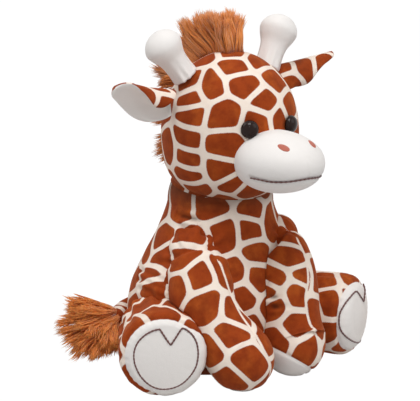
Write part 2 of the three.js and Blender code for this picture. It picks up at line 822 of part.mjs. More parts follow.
const addHead = bodyAt(neckCentre);
const headHollow = cut(head.hollow, underHead(plushThickness + softGap));
const headHole = rod(neckCentre, UP, neckOpening, neckRadius + 2 * overrun, 16);
addHead(
  "head_skin",
  cut(
    head.outer,
    underHead(softGap),
    headHollow,
    headHole,
    muzzle.hollow,
    ...ears.map((ear) => ear.clear),
    ...eyeRooms,
  ),
  printedPlush,
);
const stuffed = cut(head.filling, underHead(plushThickness + 2 * softGap));
addHead(
  "head_stuffing",
  cut(joined(stuffed, muzzle.filling), ...ears.map((ear) => ear.clear), ...eyeRooms, ...domeRooms),
  fibre,
);
addHead("muzzle_skin", cut(muzzle.outer, head.room.outer, muzzle.hollow, ...domeRooms), whitePlush);
addHead("forelock", forelock, longFur);
addHead("mane", mane, longFur);
[LEFT, RIGHT].forEach((side, i) => {
  const hornSkin = cut(horns[i].outer, head.room.outer, horns[i].hollow);
  addHead(`ossicone_skin_${sideName(side)}`, hornSkin, whitePlush);
  addHead(`ossicone_stuffing_${sideName(side)}`, cut(horns[i].filling, head.room.outer), fibre);
  addHead(`eye_${sideName(side)}`, eyes[i].dome, blackPlastic);
  addHead(`eye_washer_${sideName(side)}`, eyes[i].washer, palePlastic);
});

export default giraffe;
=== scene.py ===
"""Dresses the seated plush giraffe: printed plush skins, white panels, embroidery, safety eyes and long fur.

Every piece is a surface worked out on a grid in millimetres, and put into its mesh in metres in the frame's
own place. A grid has one row of points for each ring of the piece, and its first and last rows are the ends.
"""

import bpy
import numpy as np
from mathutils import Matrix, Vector


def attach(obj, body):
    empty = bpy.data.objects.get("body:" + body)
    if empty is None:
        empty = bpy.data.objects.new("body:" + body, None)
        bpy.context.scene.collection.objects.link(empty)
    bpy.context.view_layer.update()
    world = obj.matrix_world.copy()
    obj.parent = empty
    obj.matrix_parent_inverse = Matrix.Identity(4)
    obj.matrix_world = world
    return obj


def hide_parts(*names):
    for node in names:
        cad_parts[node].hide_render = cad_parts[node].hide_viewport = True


bl_info = {
    "name": "Seated plush giraffe",
    "version": (1, 0, 0),
    "blender": (4, 5, 0),
    "location": "View3D > Sidebar > Giraffe",
    "description": "Printed plush, fur, eyes and embroidery of a seated toy giraffe",
    "category": "Object",
}

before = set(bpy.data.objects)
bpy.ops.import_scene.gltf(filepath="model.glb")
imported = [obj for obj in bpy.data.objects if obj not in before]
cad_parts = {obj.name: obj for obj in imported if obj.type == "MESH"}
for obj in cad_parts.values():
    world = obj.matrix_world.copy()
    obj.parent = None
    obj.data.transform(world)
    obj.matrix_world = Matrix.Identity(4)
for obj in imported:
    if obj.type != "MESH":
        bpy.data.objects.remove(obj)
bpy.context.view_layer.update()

MM = 0.001
LEFT, RIGHT = 1, -1
SIDE_NAMES = {LEFT: "left", RIGHT: "right"}
UP = np.array([0.0, 0.0, 1.0])
ACROSS = np.array([1.0, 0.0, 0.0])

# ---- the forms' own sizes, in millimetres

NECK = np.array([0.0, -5.0, 113.5])
NECK_RADIUS = 37.0
TORSO_WIDTH, TORSO_DEPTH = 134.0, 114.0
TORSO_SWELL = [
    (0, 0.8), (0.07, 0.92), (0.18, 0.985), (0.32, 1), (0.43, 0.99), (0.52, 0.965),
    (0.615, 0.91), (0.71, 0.855), (0.8, 0.79), (0.9, 0.74), (1, 0.68),
]
HEAD_FOOT = np.array([0.0, -17.0, 117.5])
HEAD_WIDTH, HEAD_DEPTH, HEAD_HEIGHT, HEAD_LEAN = 92.5, 98.0, 103.0, 4.0
HEAD_SWELL = [
    (0, 0), (0.02, 0.4), (0.07, 0.68), (0.14, 0.84), (0.21, 0.925), (0.29, 0.975), (0.4, 1),
    (0.5, 1), (0.62, 0.955), (0.73, 0.87), (0.83, 0.725), (0.91, 0.54), (0.97, 0.31), (1, 0),
]
MUZZLE = np.array([0.0, -69.0, 152.5])
MUZZLE_SIZE = np.array([56.5, 74.0, 42.0])
MUZZLE_BLUNT = 2.15
EYE_SPREAD, EYE_LEVEL = 16.6, 174.0

# The eye's section, out from its axis and forward of the cloth: the shank and the back, and the dome's
# half-axes and rim.
EYE_BACK = [(0, -12), (1.7, -12), (1.7, -0.6), (5.4, -0.6), (6.0, -0.2)]
EYE_DOME, EYE_RIM = (6.1, 4.4), 0.5

HIP = {side: np.array([side * 55.21, -11.99, 28.5]) for side in SIDE_NAMES}
SHOULDER = {side: np.array([side * 33.76, -23.24, 85.0]) for side in SIDE_NAMES}
LEG_LENGTH, LEG_SPLAY, FOOT_RADIUS, HIP_RADIUS = 55.0, 31.0, 29.0, 28.0
ARM_SPINE = {
    RIGHT: [
        (-33.8, -23.2, 85.0), (-35.8, -29.7, 76.7), (-38.3, -35.8, 68.4), (-40.9, -41.4, 60.0),
        (-41.2, -47.0, 51.6), (-39.1, -53.0, 43.4), (-35.9, -59.1, 35.4), (-32.4, -65.6, 27.9),
        (-29.7, -73.2, 21.1), (-28.1, -82.5, 16.5), (-26.8, -92.2, 12.7),
    ],
    LEFT: [
        (33.8, -23.2, 85.0), (31.0, -30.7, 78.5), (28.0, -38.3, 72.3), (25.3, -45.7, 65.8),
        (22.9, -52.2, 58.2), (21.5, -56.6, 49.2), (20.8, -59.1, 39.2), (20.4, -61.6, 29.3),
        (19.9, -66.4, 20.3), (19.4, -74.5, 14.2), (19.0, -83.3, 8.9),
    ],
}
ARM_SWELL = [(0, 16.6), (0.12, 21), (0.3, 21.8), (0.55, 20.7), (0.75, 22.5), (1, 22.5)]
TAIL_SPINE = [
    (0.0, 51.7, 31.0), (-7.6, 54.1, 30.1), (-15.2, 56.7, 29.2), (-22.8, 59.1, 28.3), (-30.7, 60.2, 27.3),
    (-38.5, 58.6, 26.3), (-45.5, 54.9, 25.2), (-52.1, 50.3, 24.1), (-58.8, 46.0, 23.0),
]
EAR_ROOT = {side: np.array([side * 42.48, -11.19, 193.04]) for side in SIDE_NAMES}

# Each ear's leaf: how far its root lies from the hinge, its tip, how far it faces down, where its spine
# starts, how long that is and how far it rises at the root, the shade at the root (its place, reach and
# strength), the upper half's width (a scale and a profile) and the radii of its curl, and the lower half's
# scale. EAR_LOW is the lower half's profile.
EARS = {
    LEFT: {
        "shift": (0.5, 0, 4), "tip": (91, -13, 210), "turn": 24, "start": -6, "length": 56, "rise": 8,
        "shade": (12, 13, 1.0), "low": 6, "scale": 1, "tight": ([0, 0.5, 0.8, 1], [10, 10, 8, 7]),
        "high": [(0, 18), (0.15, 24), (0.36, 24.5), (0.54, 18), (0.7, 13), (0.85, 9.5), (0.95, 6.5), (1, 2)],
    },
    RIGHT: {
        "shift": (-0.8, 0, 0), "tip": (-93, -16, 202), "turn": 44, "start": 3, "length": 47, "rise": 0,
        "shade": (7, 8, 0.35), "low": 20, "scale": 22, "tight": ([0, 0.5, 0.8, 1], [8, 9, 13, 24]),
        "high": [
            (0, 0.3), (0.1, 0.66), (0.3, 0.98), (0.48, 1.04), (0.66, 0.96), (0.82, 0.7), (0.94, 0.38),
            (1, 0.1),
        ],
    },
}
EAR_LOW = [
    (0, 0.95), (0.15, 1.05), (0.35, 1.06), (0.52, 0.95), (0.7, 0.72), (0.85, 0.5), (0.95, 0.34), (1, 0.1),
]
EAR_THICKNESS = 1.5
OSSICONE_FOOT = {side: np.array([side * 33.0, -12.5, 203.0]) for side in SIDE_NAMES}
OSSICONE_BULB = {LEFT: np.array([47.0, -8.0, 227.5]), RIGHT: np.array([-47.0, -8.0, 223.5])}
OSSICONE_SWELL = [(0, 9.2), (0.25, 8.7), (0.45, 9.5), (0.62, 12.2), (0.75, 13.4), (1, 13.4)]

# Radii of the leg's tube, and of the rounding between it and the sole.
LEG_SWELL = [(0, 27.4), (0.35, 27.6), (0.7, 28.5), (0.9, 29), (1, 29)]
SOLE_ROUNDING = {LEFT: 14.0, RIGHT: 9.0}

# A hoof's outline on the sole, across and up from its middle: out of the notch, round the sole, and back.
HOOF = [
    (-4.7, 8.6), (-3.6, 10.3), (-1.1, 14.1), (1.4, 18.1), (2.3, 19.2), (3.9, 19.2), (7.3, 18.2),
    (11.9, 15.6), (16.2, 11.4), (18.6, 6.6), (19.4, 1.6), (18.6, -4.8), (15.2, -12.4), (9.8, -18.4),
    (3.2, -21.6), (-4.8, -21.6), (-12.0, -18.6), (-17.6, -13.2), (-21.5, -6.6), (-22.9, 0.8), (-22.2, 8.6),
    (-19.4, 14.6), (-15.8, 18.2), (-13.3, 19.5), (-12.1, 19.2), (-11.2, 18.1), (-8.5, 14.0), (-5.7, 9.9),
    (-4.7, 8.2),
]
# The left hoof is mirrored, and spread over the sole's edge: places across, from and to.
HOOF_LEFT = ([-23, -12.7, -4.7, 3, 19.6], [29, 7, -6, -15, -29])

# Places of the printed patches that face ahead and to the right; the rest are scattered between them.
HEAD_PATCHES = [
    (-4, -24, 219), (-12.5, -38.2, 213.1), (7.5, -36.6, 215.5), (-19.1, -11.9, 214.5),
    (-29.2, -37.1, 202.8), (-13.3, -51.5, 202.3), (13.6, -51.1, 202.7), (-38, -19, 203.5),
    (-40, -26.2, 192.8), (-43.1, -30.6, 182.2), (-30.2, -51.8, 183.1), (-3.7, -60.9, 191.1),
    (20.8, -57.9, 185.6), (-8.8, -63.9, 178.6), (8.2, -64.1, 178.3), (-45.8, -29.5, 166.9),
    (-45.6, -27.5, 152.9), (-30.3, -54.5, 161.9), (-31.1, -50.7, 145), (-23.9, -51.2, 135.1),
    (-42.6, -26.3, 139.8), (-36, -28.4, 130.4), (-9.4, -52.4, 128.4), (-45.9, -5.4, 157.3),
    (-41.4, 1.2, 180),
]
TORSO_PATCHES = [
    (-1.5, -43.7, 99.5), (1.4, -41.9, 112.8), (0.2, -48.5, 82.7), (-19.4, -47.8, 74.3), (-4.3, -52.4, 69.5),
    (-16.5, -54.2, 58.5), (-24.6, -31.6, 118.5), (-36.1, -7.4, 118.2), (-45.6, 2.2, 90.8),
    (-47.6, 14.5, 80), (-52.8, -6.3, 78.1), (-58, -6.5, 67.6), (-60.4, -11.4, 60.6), (18, -40, 104),
]
ARM_PATCHES = {
    RIGHT: [
        (-41.4, -26.1, 100.2), (-51.8, -35.3, 84.9), (-51.9, -49.8, 75.7), (-31.3, -51.7, 74.3),
        (-60, -40.4, 68.7), (-50.8, -63.3, 58.7), (-34.2, -70.9, 52.9), (-43, -77.5, 43),
        (-53.2, -71.3, 30.9), (-38.8, -90.9, 25.2), (-17.8, -82.3, 37), (-48, -81.2, 13.2),
    ],
    LEFT: [
        (31.6, -46.6, 89.7), (20.1, -59.5, 80), (8.7, -61.2, 68), (23.5, -68.6, 68.7), (2.8, -57.8, 57.6),
        (15.5, -73.6, 57.1), (2.4, -64, 48.5), (10.3, -78.4, 38), (0, -73.1, 27.9), (13.9, -85.1, 21.4),
    ],
}
LEG_PATCHES = {
    RIGHT: [(-83.4, -49.2, 56.1), (-97.3, -44, 46.9), (-73.2, -18.5, 52.4)],
    LEFT: [
        (64.3, -42.8, 55), (81.3, -52.1, 56.6), (52.5, -58, 38.6), (51.4, -59.7, 23.1), (46.1, -49.3, 33.9),
    ],
}

ARM_BALL = 17.4
ARM_WAY = {side: np.array([side, -1, 0.2]) for side in SIDE_NAMES}
MANE_STRANDS, TAIL_STRANDS, LOCK_SEGMENTS = 2600, 4200, 7
FORELOCK_LENGTHS = ([0, 0.12, 0.3, 0.45, 0.52, 0.75, 1], [28, 33, 31, 37, 39, 41, 43])

# Each lamp's place in metres, its power in watts and its size in metres.
LAMPS = {
    "key": ((-0.3, -0.74, 1.7), 16.3, 0.8),
    "glint": ((-0.62, -1.2, 0.95), 1.4, 0.08),
    "fill": ((0.8, -1.1, 0.9), 4, 1.0),
    "rim": ((-0.8, 0.6, 1.2), 6, 1.0),
}

# Creases of pressed cloth, each from one end to the other, with painted shade along each one's valley.
TORSO_FOLDS = [
    ((-56, 10.7, 68), (-54.5, -22, 66)), ((-59.4, 7.7, 62.6), (-54.5, -26, 61)),
    ((-62, 1.5, 57.9), (-54.5, -29, 56)), ((56, 10.7, 68), (54.5, -22, 66)),
    ((59.4, 7.7, 62.6), (54.5, -26, 61)), ((62, 1.5, 57.9), (54.5, -29, 56)),
    ((-30.5, -24, 121), (-15.9, -37.2, 119.5)), ((-38.2, -9.6, 108.6), (-32.5, -25.6, 107.5)),
]
# Creases of each arm's pressed cloth, with painted shade along each one's valley.
ARM_FOLDS = {
    RIGHT: [
        ((-41, -13, 102), (-32.4, -33.3, 98.6)), ((-44.5, -9, 95), (-35.4, -23, 105)),
        ((-36, -44, 73), (-26, -45, 66)),
    ],
    LEFT: [
        ((2.9, -54.1, 64.9), (14.5, -68.8, 65.9)), ((-2.8, -56.1, 56.9), (6.3, -66.7, 56.2)),
        ((-5, -57.3, 48.7), (10.3, -72.6, 51.5)), ((17.5, -53.4, 82.6), (29.9, -59.8, 79.7)),
    ],
}

# The seam down the front of each arm, from the shoulder to the paw.
ARM_SEAM = {
    RIGHT: [
        (-30.4, -32, 99.2), (-34, -38, 92), (-33.6, -42.9, 86.8), (-31.9, -48.3, 79.6),
        (-31.2, -55.1, 69.5), (-29.3, -63.1, 58.3), (-28.4, -71.5, 51), (-27.1, -80, 43.6),
        (-24.8, -89.9, 31.9), (-20, -96, 22), (-17, -98, 12),
    ],
    LEFT: [
        (30.4, -32.3, 98.9), (33.6, -39.7, 92.8), (33.1, -51.8, 85.8), (30.3, -63, 75.6),
        (26.3, -71.2, 65.1), (21.7, -74.4, 57.2), (20.9, -77.5, 48.6), (21.5, -80.1, 39), (25, -82.7, 30),
        (26, -87, 18.6), (22, -97, 10),
    ],
}


# ---- settings that a user would change


def linear(red, green, blue):
    """A colour as it is seen, from 0 to 255, turned into the linear values that shaders take."""
    seen = np.array([red, green, blue]) / 255
    out = np.where(seen <= 0.04045, seen / 12.92, ((seen + 0.055) / 1.055) ** 2.4)
    return tuple(float(value) for value in out)


def length_property(name, description, metres):
    return bpy.props.FloatProperty(name=name, description=description, default=metres, unit="LENGTH")


class GiraffeSizes(bpy.types.PropertyGroup):
    """Sizes of the print, the seams and the fur."""

    line_width: length_property("Line width", "Pale line between two printed patches", 0.0038)
    patch_spacing: length_property("Patch reach", "Farthest that cloth lies from a patch's middle", 0.02)
    corner_rounding: length_property("Corner rounding", "How round a patch's corners are", 0.001)
    seam_depth: length_property("Seam depth", "How deep a sewn seam draws the cloth in", 0.0012)
    strand_width: length_property("Strand width", "Width of a lock of fur at its root", 0.00055)
    forelock_strands: bpy.props.IntProperty(
        name="Forelock strands", description="Locks of fur on the crown", default=4200
    )


def colour_property(name, description, seen):
    return bpy.props.FloatVectorProperty(
        name=name, description=description, subtype="COLOR", size=3, min=0, max=1, default=linear(*seen)
    )


class GiraffeColours(bpy.types.PropertyGroup):
    """Colours of the cloth, thread, fur and plastic, and of the sheen painted on the patches."""

    patch: colour_property("Patches", "Printed rust-brown patches", (160, 65, 18))
    patch_dark: colour_property("Patch shade", "Darker tone that mottles the patches", (122, 44, 10))
    # The painted sheen on the patches: a lighter orange painted in spots, for light on the leaning pile.
    painted_nap_sheen: colour_property("Patch nap", "Lighter orange where the pile leans the other way", (210, 108, 38))
    line: colour_property("Lines", "Cream cloth between the patches", (246, 232, 218))
    white: colour_property("White plush", "Muzzle, ossicones, ear linings and soles", (240, 236, 232))
    fur: colour_property("Fur", "Long fur of the forelock, mane and tail", (255, 163, 78))
    fur_dark: colour_property("Fur root", "Darker fur near its roots", (184, 96, 36))
    thread: colour_property("Thread", "Dark brown thread of the mouth and hooves", (84, 44, 40))
    nostril: colour_property("Nostrils", "Satin-stitched nostrils", (164, 84, 64))
    eye: colour_property("Eyes", "Glossy moulded eyes", (30, 13, 8))
    filling: colour_property("Filling", "Fibre filling inside", (240, 240, 238))


# ---- curves and grids


def catmull(points, samples):
    """A smooth curve through points: cubic pieces, each point's slope half the way between its neighbours."""
    points = np.asarray(points, float)
    padded = np.vstack([2 * points[0] - points[1], points, 2 * points[-1] - points[-2]])
    place = np.linspace(0, len(points) - 1, samples)
    start = np.minimum(place.astype(int), len(points) - 2)
    t = (place - start)[:, None]
    a, b, c, d = (padded[start + k] for k in range(4))
    return 0.5 * (2 * b + (c - a) * t + (2 * a - 5 * b + 4 * c - d) * t**2 + (3 * b - a - 3 * c + d) * t**3)


def through(pairs, place):
    """A smooth value read at a place, from (place, value) pairs."""
    curve = catmull(pairs, 400)
    return np.interp(place, curve[:, 0], curve[:, 1])


def smooth(low, high, value):
    """Rises from 0 at low to 1 at high with flat ends."""
    share = np.clip((value - low) / (high - low), 0, 1)
    return share * share * (3 - 2 * share)


def bell(far, width):
    """Falls from 1 at no distance to 0 at some widths away: the exponential of minus the ratio's square."""
    return np.exp(-((far / width) ** 2))


def away_from(points, place):
    """Each point's distance from a place."""
    return np.linalg.norm(points - place, axis=-1)


def unit(vectors):
    return vectors / np.maximum(np.linalg.norm(vectors, axis=-1, keepdims=True), 1e-12)


def level_of(way):
    """The level direction square to a way."""
    return unit(np.cross(way, UP))


def eased(count):
    """Shares from 0 to 1, closer together at both ends, as the levels of a ball are."""
    return (1 - np.cos(np.pi * np.linspace(0, 1, count))) / 2


def circle(count):
    """Angles evenly round a full turn."""
    return 2 * np.pi * np.arange(count) / count


def around(angle, across, up):
    """Directions at angles round an axis: the cosine across and the sine up."""
    return np.cos(angle)[:, None] * across + np.sin(angle)[:, None] * up


def ball(rings, sides):
    """A unit ball's three coordinates on a grid of rings, from the top down."""
    turn = np.linspace(0, np.pi, rings + 1)[:, None]
    angle = circle(sides)
    return np.sin(turn) * np.sin(angle), np.sin(turn) * np.cos(angle), np.cos(turn) + 0 * angle


def plain(points, value=0.0):
    """The same value at every point of a grid."""
    return np.full(points.shape[:-1], float(value))


def normals_of(points):
    """Outward directions of a closed grid: round the rings crossed with along the piece, turned outward."""
    along = np.gradient(points, axis=0)
    across = np.roll(points, -1, axis=1) - np.roll(points, 1, axis=1)
    out = unit(np.cross(across, along))
    out[0] = unit(out[1].mean(axis=0))
    out[-1] = unit(out[-2].mean(axis=0))
    middle = points.reshape(-1, 3).mean(axis=0)
    inward = np.sum(out * (points - middle)) < 0
    return -out if inward else out


def raised(points, height):
    """The grid with each point moved out of the surface by its own height."""
    return points + normals_of(points) * np.asarray(height)[..., None]


def mesh_object(name, vertices, faces, material, attributes):
    """A smooth mesh object at the origin, from places in millimetres, with attributes at its points."""
    mesh = bpy.data.meshes.new(name)
    mesh.from_pydata((vertices * MM).tolist(), [], faces)
    for label, values in attributes.items():
        mesh.attributes.new(label, "FLOAT", "POINT").data.foreach_set("value", values.astype(np.float32))
    mesh.materials.append(finish(material))
    mesh.shade_smooth()
    mesh.update()
    made = bpy.data.objects.new(name, mesh)
    bpy.context.scene.collection.objects.link(made)
    return made


def closed_mesh(name, points, material, **attributes):
    """A grid of rings, closed round and drawn to one point at each end, with its faces turned out."""
    rings, sides = points.shape[0] - 1, points.shape[1]

    def flat(values):
        return np.concatenate([values[0, :1], values[1:-1].reshape(-1, *values.shape[2:]), values[-1, :1]])

    j = np.arange(sides)
    k = (j + 1) % sides
    ring = 1 + np.arange(rings - 2)[:, None] * sides
    quads = np.stack([ring + j, ring + k, ring + sides + k, ring + sides + j], axis=-1).reshape(-1, 4)
    last = 1 + (rings - 2) * sides
    start = np.stack([np.zeros(sides, int), 1 + k, 1 + j], axis=-1)
    end = np.stack([last + j, last + k, np.full(sides, last + sides)], axis=-1)
    faces = [*map(tuple, start), *map(tuple, quads), *map(tuple, end)]
    vertices = flat(points)
    a, b, c, d = np.moveaxis(vertices[quads], 1, 0)
    if np.sum(a * (np.cross(b, c) + np.cross(c, d))) < 0:
        faces = [face[::-1] for face in faces]
    attributes = {label: flat(values) for label, values in attributes.items()}
    return mesh_object(name, vertices, faces, material, attributes)


def tube_points(spine, radii, sides, sideways=UP):
    """Rings square to a spine: the centre, plus the radius there times the cosine across and the sine up."""
    spine = np.asarray(spine, float)
    tangent = unit(np.gradient(spine, axis=0))
    across = unit(sideways - (tangent @ sideways)[:, None] * tangent)
    ring = around(circle(sides), across[:, None], np.cross(tangent, across)[:, None])
    return spine[:, None] + np.asarray(radii, float)[:, None, None] * ring


def even(spine, count, ease=True):
    """Points along a curve at even, or end-crowded, shares of its length."""
    spine = np.asarray(spine, float)
    far = np.concatenate([[0], np.cumsum(np.linalg.norm(np.diff(spine, axis=0), axis=1))])
    share = eased(count) if ease else np.linspace(0, 1, count)
    return np.stack([np.interp(share * far[-1], far, spine[:, k]) for k in range(3)], axis=-1), share, far[-1]


def capped(share, length, start, end):
    """Narrows a tube to nothing at both ends along a quarter circle of the given reach."""
    first = np.clip(share * length / start, 0, 1)
    last = np.clip((1 - share) * length / end, 0, 1)
    return np.sqrt(1 - (1 - first) ** 2) * np.sqrt(1 - (1 - last) ** 2)


def distance_to_path(points, path):
    """Distance from each point to a polyline, and how far along it the nearest place lies."""
    flat = points.reshape(-1, 3)
    best = np.full(len(flat), np.inf)
    along = np.zeros(len(flat))
    travelled = 0.0
    for a, b in zip(path[:-1], path[1:]):
        way = b - a
        length = np.linalg.norm(way)
        share = np.clip((flat - a) @ way / length**2, 0, 1)
        far = np.linalg.norm(flat - a - share[:, None] * way, axis=1)
        nearer = far < best
        best[nearer] = far[nearer]
        along[nearer] = travelled + share[nearer] * length
        travelled += length
    return best.reshape(points.shape[:-1]), along.reshape(points.shape[:-1])


def seam(points, path, depth, reach=1.3, pucker=0.25, step=5.0):
    """Cloth drawn in along a seam: a narrow bell-shaped valley, and small ripples across it that fade."""
    far, along = distance_to_path(points, path)
    valley = bell(far, reach)
    ripple = pucker * np.cos(2 * np.pi * along / step) * np.exp(-far / 4.5) * (1 - valley)
    return -depth * valley + ripple


def folds(points, ends, depth, width):
    """Soft creases of pressed cloth: a valley between two ends with a rounded ridge on each side of it, and a
    mask of painted shade along each valley.
    """
    height = plain(points)
    crease = plain(points)
    for start, end in ends:
        path = catmull([start, np.add(start, end) / 2, end], 9)
        far, along = distance_to_path(points, path)
        reach = np.linalg.norm(np.subtract(end, start))
        fade = np.clip(np.sin(np.pi * np.clip(along / reach, 0.04, 0.96)), 0, 1) ** 0.5
        valley, ridge = bell(far, width), bell(far - 2.1 * width, width)
        height = height + depth * fade * (0.55 * ridge - valley)
        crease = np.maximum(crease, fade * valley)
    return height, crease


def gathers(points, centre, axis, radius, pleats, depth, reach, phase=0.0):
    """Pleats round a sewn ring: a wave of the angle about its axis and a finer one, fading away from it."""
    axis = unit(np.asarray(axis, float))
    side = unit(np.cross(axis, [0.3, 0.2, 0.93]))
    other = np.cross(axis, side)
    away = points - centre
    height = away @ axis
    flat = away - height[..., None] * axis
    angle = np.arctan2(flat @ other, flat @ side)
    far = np.hypot(np.linalg.norm(flat, axis=-1) - radius, height * 0.5)
    finer = (pleats * 1.6) // 1
    wave = np.cos(pleats * angle + phase + 0.8 * np.sin(2 * angle)) + 0.45 * np.cos(finer * angle + 2 * phase)
    return depth * wave * bell(far, reach)


def lumps(points, size, height, seed=0.0):
    """Slow swelling of stuffed cloth: a sum of three crossed sine waves."""
    x, y, z = np.moveaxis(points / size, -1, 0)
    first, second = np.sin(x * 1.1 + 1.7 * y + seed), np.sin(1.3 * y - 0.9 * z + 2 * seed)
    return height * (first + second + np.sin(1.2 * z + 0.8 * x - seed)) / 3


# ---- the print


def scattered(points, seeds, reach):
    """Patch middles all over: each new one is the place farthest from all so far, until none is too far."""
    flat = points.reshape(-1, 3)[::3]
    chosen = [np.asarray(seed, float) for seed in seeds] or [flat[len(flat) // 2]]
    far = np.min([np.linalg.norm(flat - seed, axis=1) for seed in chosen], axis=0)
    while far.max() > reach:
        chosen.append(flat[far.argmax()])
        far = np.minimum(far, np.linalg.norm(flat - chosen[-1], axis=1))
    return np.array(chosen)


def patch_distance(points, seeds, rounding, line, wobble=1.3, seed=0.0):
    """How far inside its rounded patch each point lies, less half a line.

    A point belongs to the nearest middle. Its distance to each border is half the difference of the squared
    distances over the middles' spacing, and a soft minimum of these rounds the corners.
    """
    shape = points.shape[:-1]
    flat = points.reshape(-1, 3)
    x, y, z = flat.T / 9
    drift = np.sin([y + 1.3 * z + seed, z + 1.2 * x + 2 * seed, x + 1.4 * y - seed])
    flat = flat + wobble * drift.T
    squares = (flat**2).sum(1)[:, None] - 2 * flat @ seeds.T + (seeds**2).sum(1)
    count = min(8, len(seeds))
    near = np.argpartition(squares, count - 1, axis=1)[:, :count]
    found = np.take_along_axis(squares, near, axis=1)
    order = np.argsort(found, axis=1)
    near = np.take_along_axis(near, order, axis=1)
    found = np.take_along_axis(found, order, axis=1)
    spacing = np.linalg.norm(seeds[near[:, 1:]] - seeds[near[:, :1]], axis=-1)
    gap = (found[:, 1:] - found[:, :1]) / (2 * np.maximum(spacing, 1e-6))
    soft = -rounding * np.log(np.exp(-gap / rounding).sum(axis=1))
    return (soft - line / 2).reshape(shape)


def printed(points, seeds, sizes, seed=0.0, spacing=1.0):
    """The patch attribute of a printed piece, from its listed and scattered middles."""
    middles = scattered(points, seeds, sizes.patch_spacing / MM * spacing)
    return patch_distance(points, middles, sizes.corner_rounding / MM, sizes.line_width / MM, seed=seed)


# ---- materials


class Nodes:
    """Short calls for the nodes of one tree."""

    def __init__(self, tree):
        self.tree = tree
        self.place = None

    def add(self, kind, sources=None, **settings):
        """A node with its own settings, and its sockets fed."""
        made = self.tree.nodes.new(kind)
        for key, value in settings.items():
            setattr(made, key, value)
        self.feed(made, sources or {})
        return made

    def feed(self, made, sources):
        """Links each socket, by its name or number, from another one, or sets it to a number or a colour."""
        for key, source in sources.items():
            if isinstance(source, bpy.types.NodeSocket):
                self.tree.links.new(source, made.inputs[key])
            elif isinstance(source, (int, float)):
                made.inputs[key].default_value = source
            else:
                made.inputs[key].default_value = (*source, 1)

    def mixed(self, factor, first, second):
        """Blends two colours."""
        return self.add("ShaderNodeMix", {0: factor, 6: first, 7: second}, data_type="RGBA").outputs[2]

    def math(self, operation, first, second):
        return self.add("ShaderNodeMath", {0: first, 1: second}, operation=operation).outputs[0]

    def times(self, first, second):
        return self.math("MULTIPLY", first, second)

    def stepped(self, value, low, high):
        """Rises from 0 at low to 1 at high with flat ends."""
        sources = {"Value": value, "From Min": low, "From Max": high}
        return self.add("ShaderNodeMapRange", sources, interpolation_type="SMOOTHSTEP").outputs["Result"]

    def noise(self, scale, detail=2.0, roughness=0.5):
        """Noise on the object's own coordinates."""
        self.place = self.place or self.add("ShaderNodeTexCoord").outputs["Object"]
        sources = {"Vector": self.place, "Scale": scale, "Detail": detail, "Roughness": roughness}
        return self.add("ShaderNodeTexNoise", sources).outputs[0]

    def rays(self, *kinds):
        """One where the light path is any of the kinds of ray, as for the white floor and backdrop."""
        path = self.add("ShaderNodeLightPath")
        seen = path.outputs[f"Is {kinds[0]} Ray"]
        for kind in kinds[1:]:
            seen = self.math("MAXIMUM", seen, path.outputs[f"Is {kind} Ray"])
        return seen

    def attribute(self, name):
        return self.add("ShaderNodeAttribute", attribute_name=name).outputs["Fac"]

    def bump(self, height, strength, distance, under=None):
        """Relief from a height between 0 and 1, over another relief if one is given."""
        sources = {"Height": height, "Strength": strength, "Distance": distance}
        return self.add("ShaderNodeBump", sources | ({"Normal": under} if under else {})).outputs[0]

    def pile(self, strength):
        """Fine pile: a dense noise for the fibres, and a slower one for the way that they lean."""
        fibres = self.bump(self.noise(1700, 3, 0.65), strength, 0.0004)
        return self.bump(self.noise(330, 3, 0.55), strength * 0.6, 0.0006, fibres)

    def creased(self, colour, shade):
        """The colour, mixed toward a painted shade colour where the painted shade attribute is high: in folds
        and under other parts.
        """
        return self.mixed(self.stepped(self.attribute("crease"), 0, 1), colour, shade)


class Material(Nodes):
    """A new material with its Principled shader."""

    def __init__(self, name):
        self.made = bpy.data.materials.new(name)
        self.made.use_nodes = True
        super().__init__(self.made.node_tree)
        self.surface = self.tree.nodes["Principled BSDF"]

    def finished(self, colour, normal, roughness, constants=None):
        """Feeds the surface its colour, its relief, its roughness and its other constants."""
        self.feed(self.surface, {"Base Color": colour, "Normal": normal, "Roughness": roughness})
        self.feed(self.surface, constants or {})
        return self.made


VELOUR = {"Specular IOR Level": 0.15, "Sheen Roughness": 0.45}
PRINTED_SHEEN = {"Sheen Weight": 0.12, "Sheen Tint": (0.95, 0.45, 0.2), **VELOUR}
# Colours of painted shade, for printed and for white cloth, which the cloth is mixed toward in folds and
# under other parts.
PAINTED_SHADE_BROWN, PAINTED_SHADE_GREY = (0.05, 0.02, 0.01), (0.35, 0.28, 0.26)


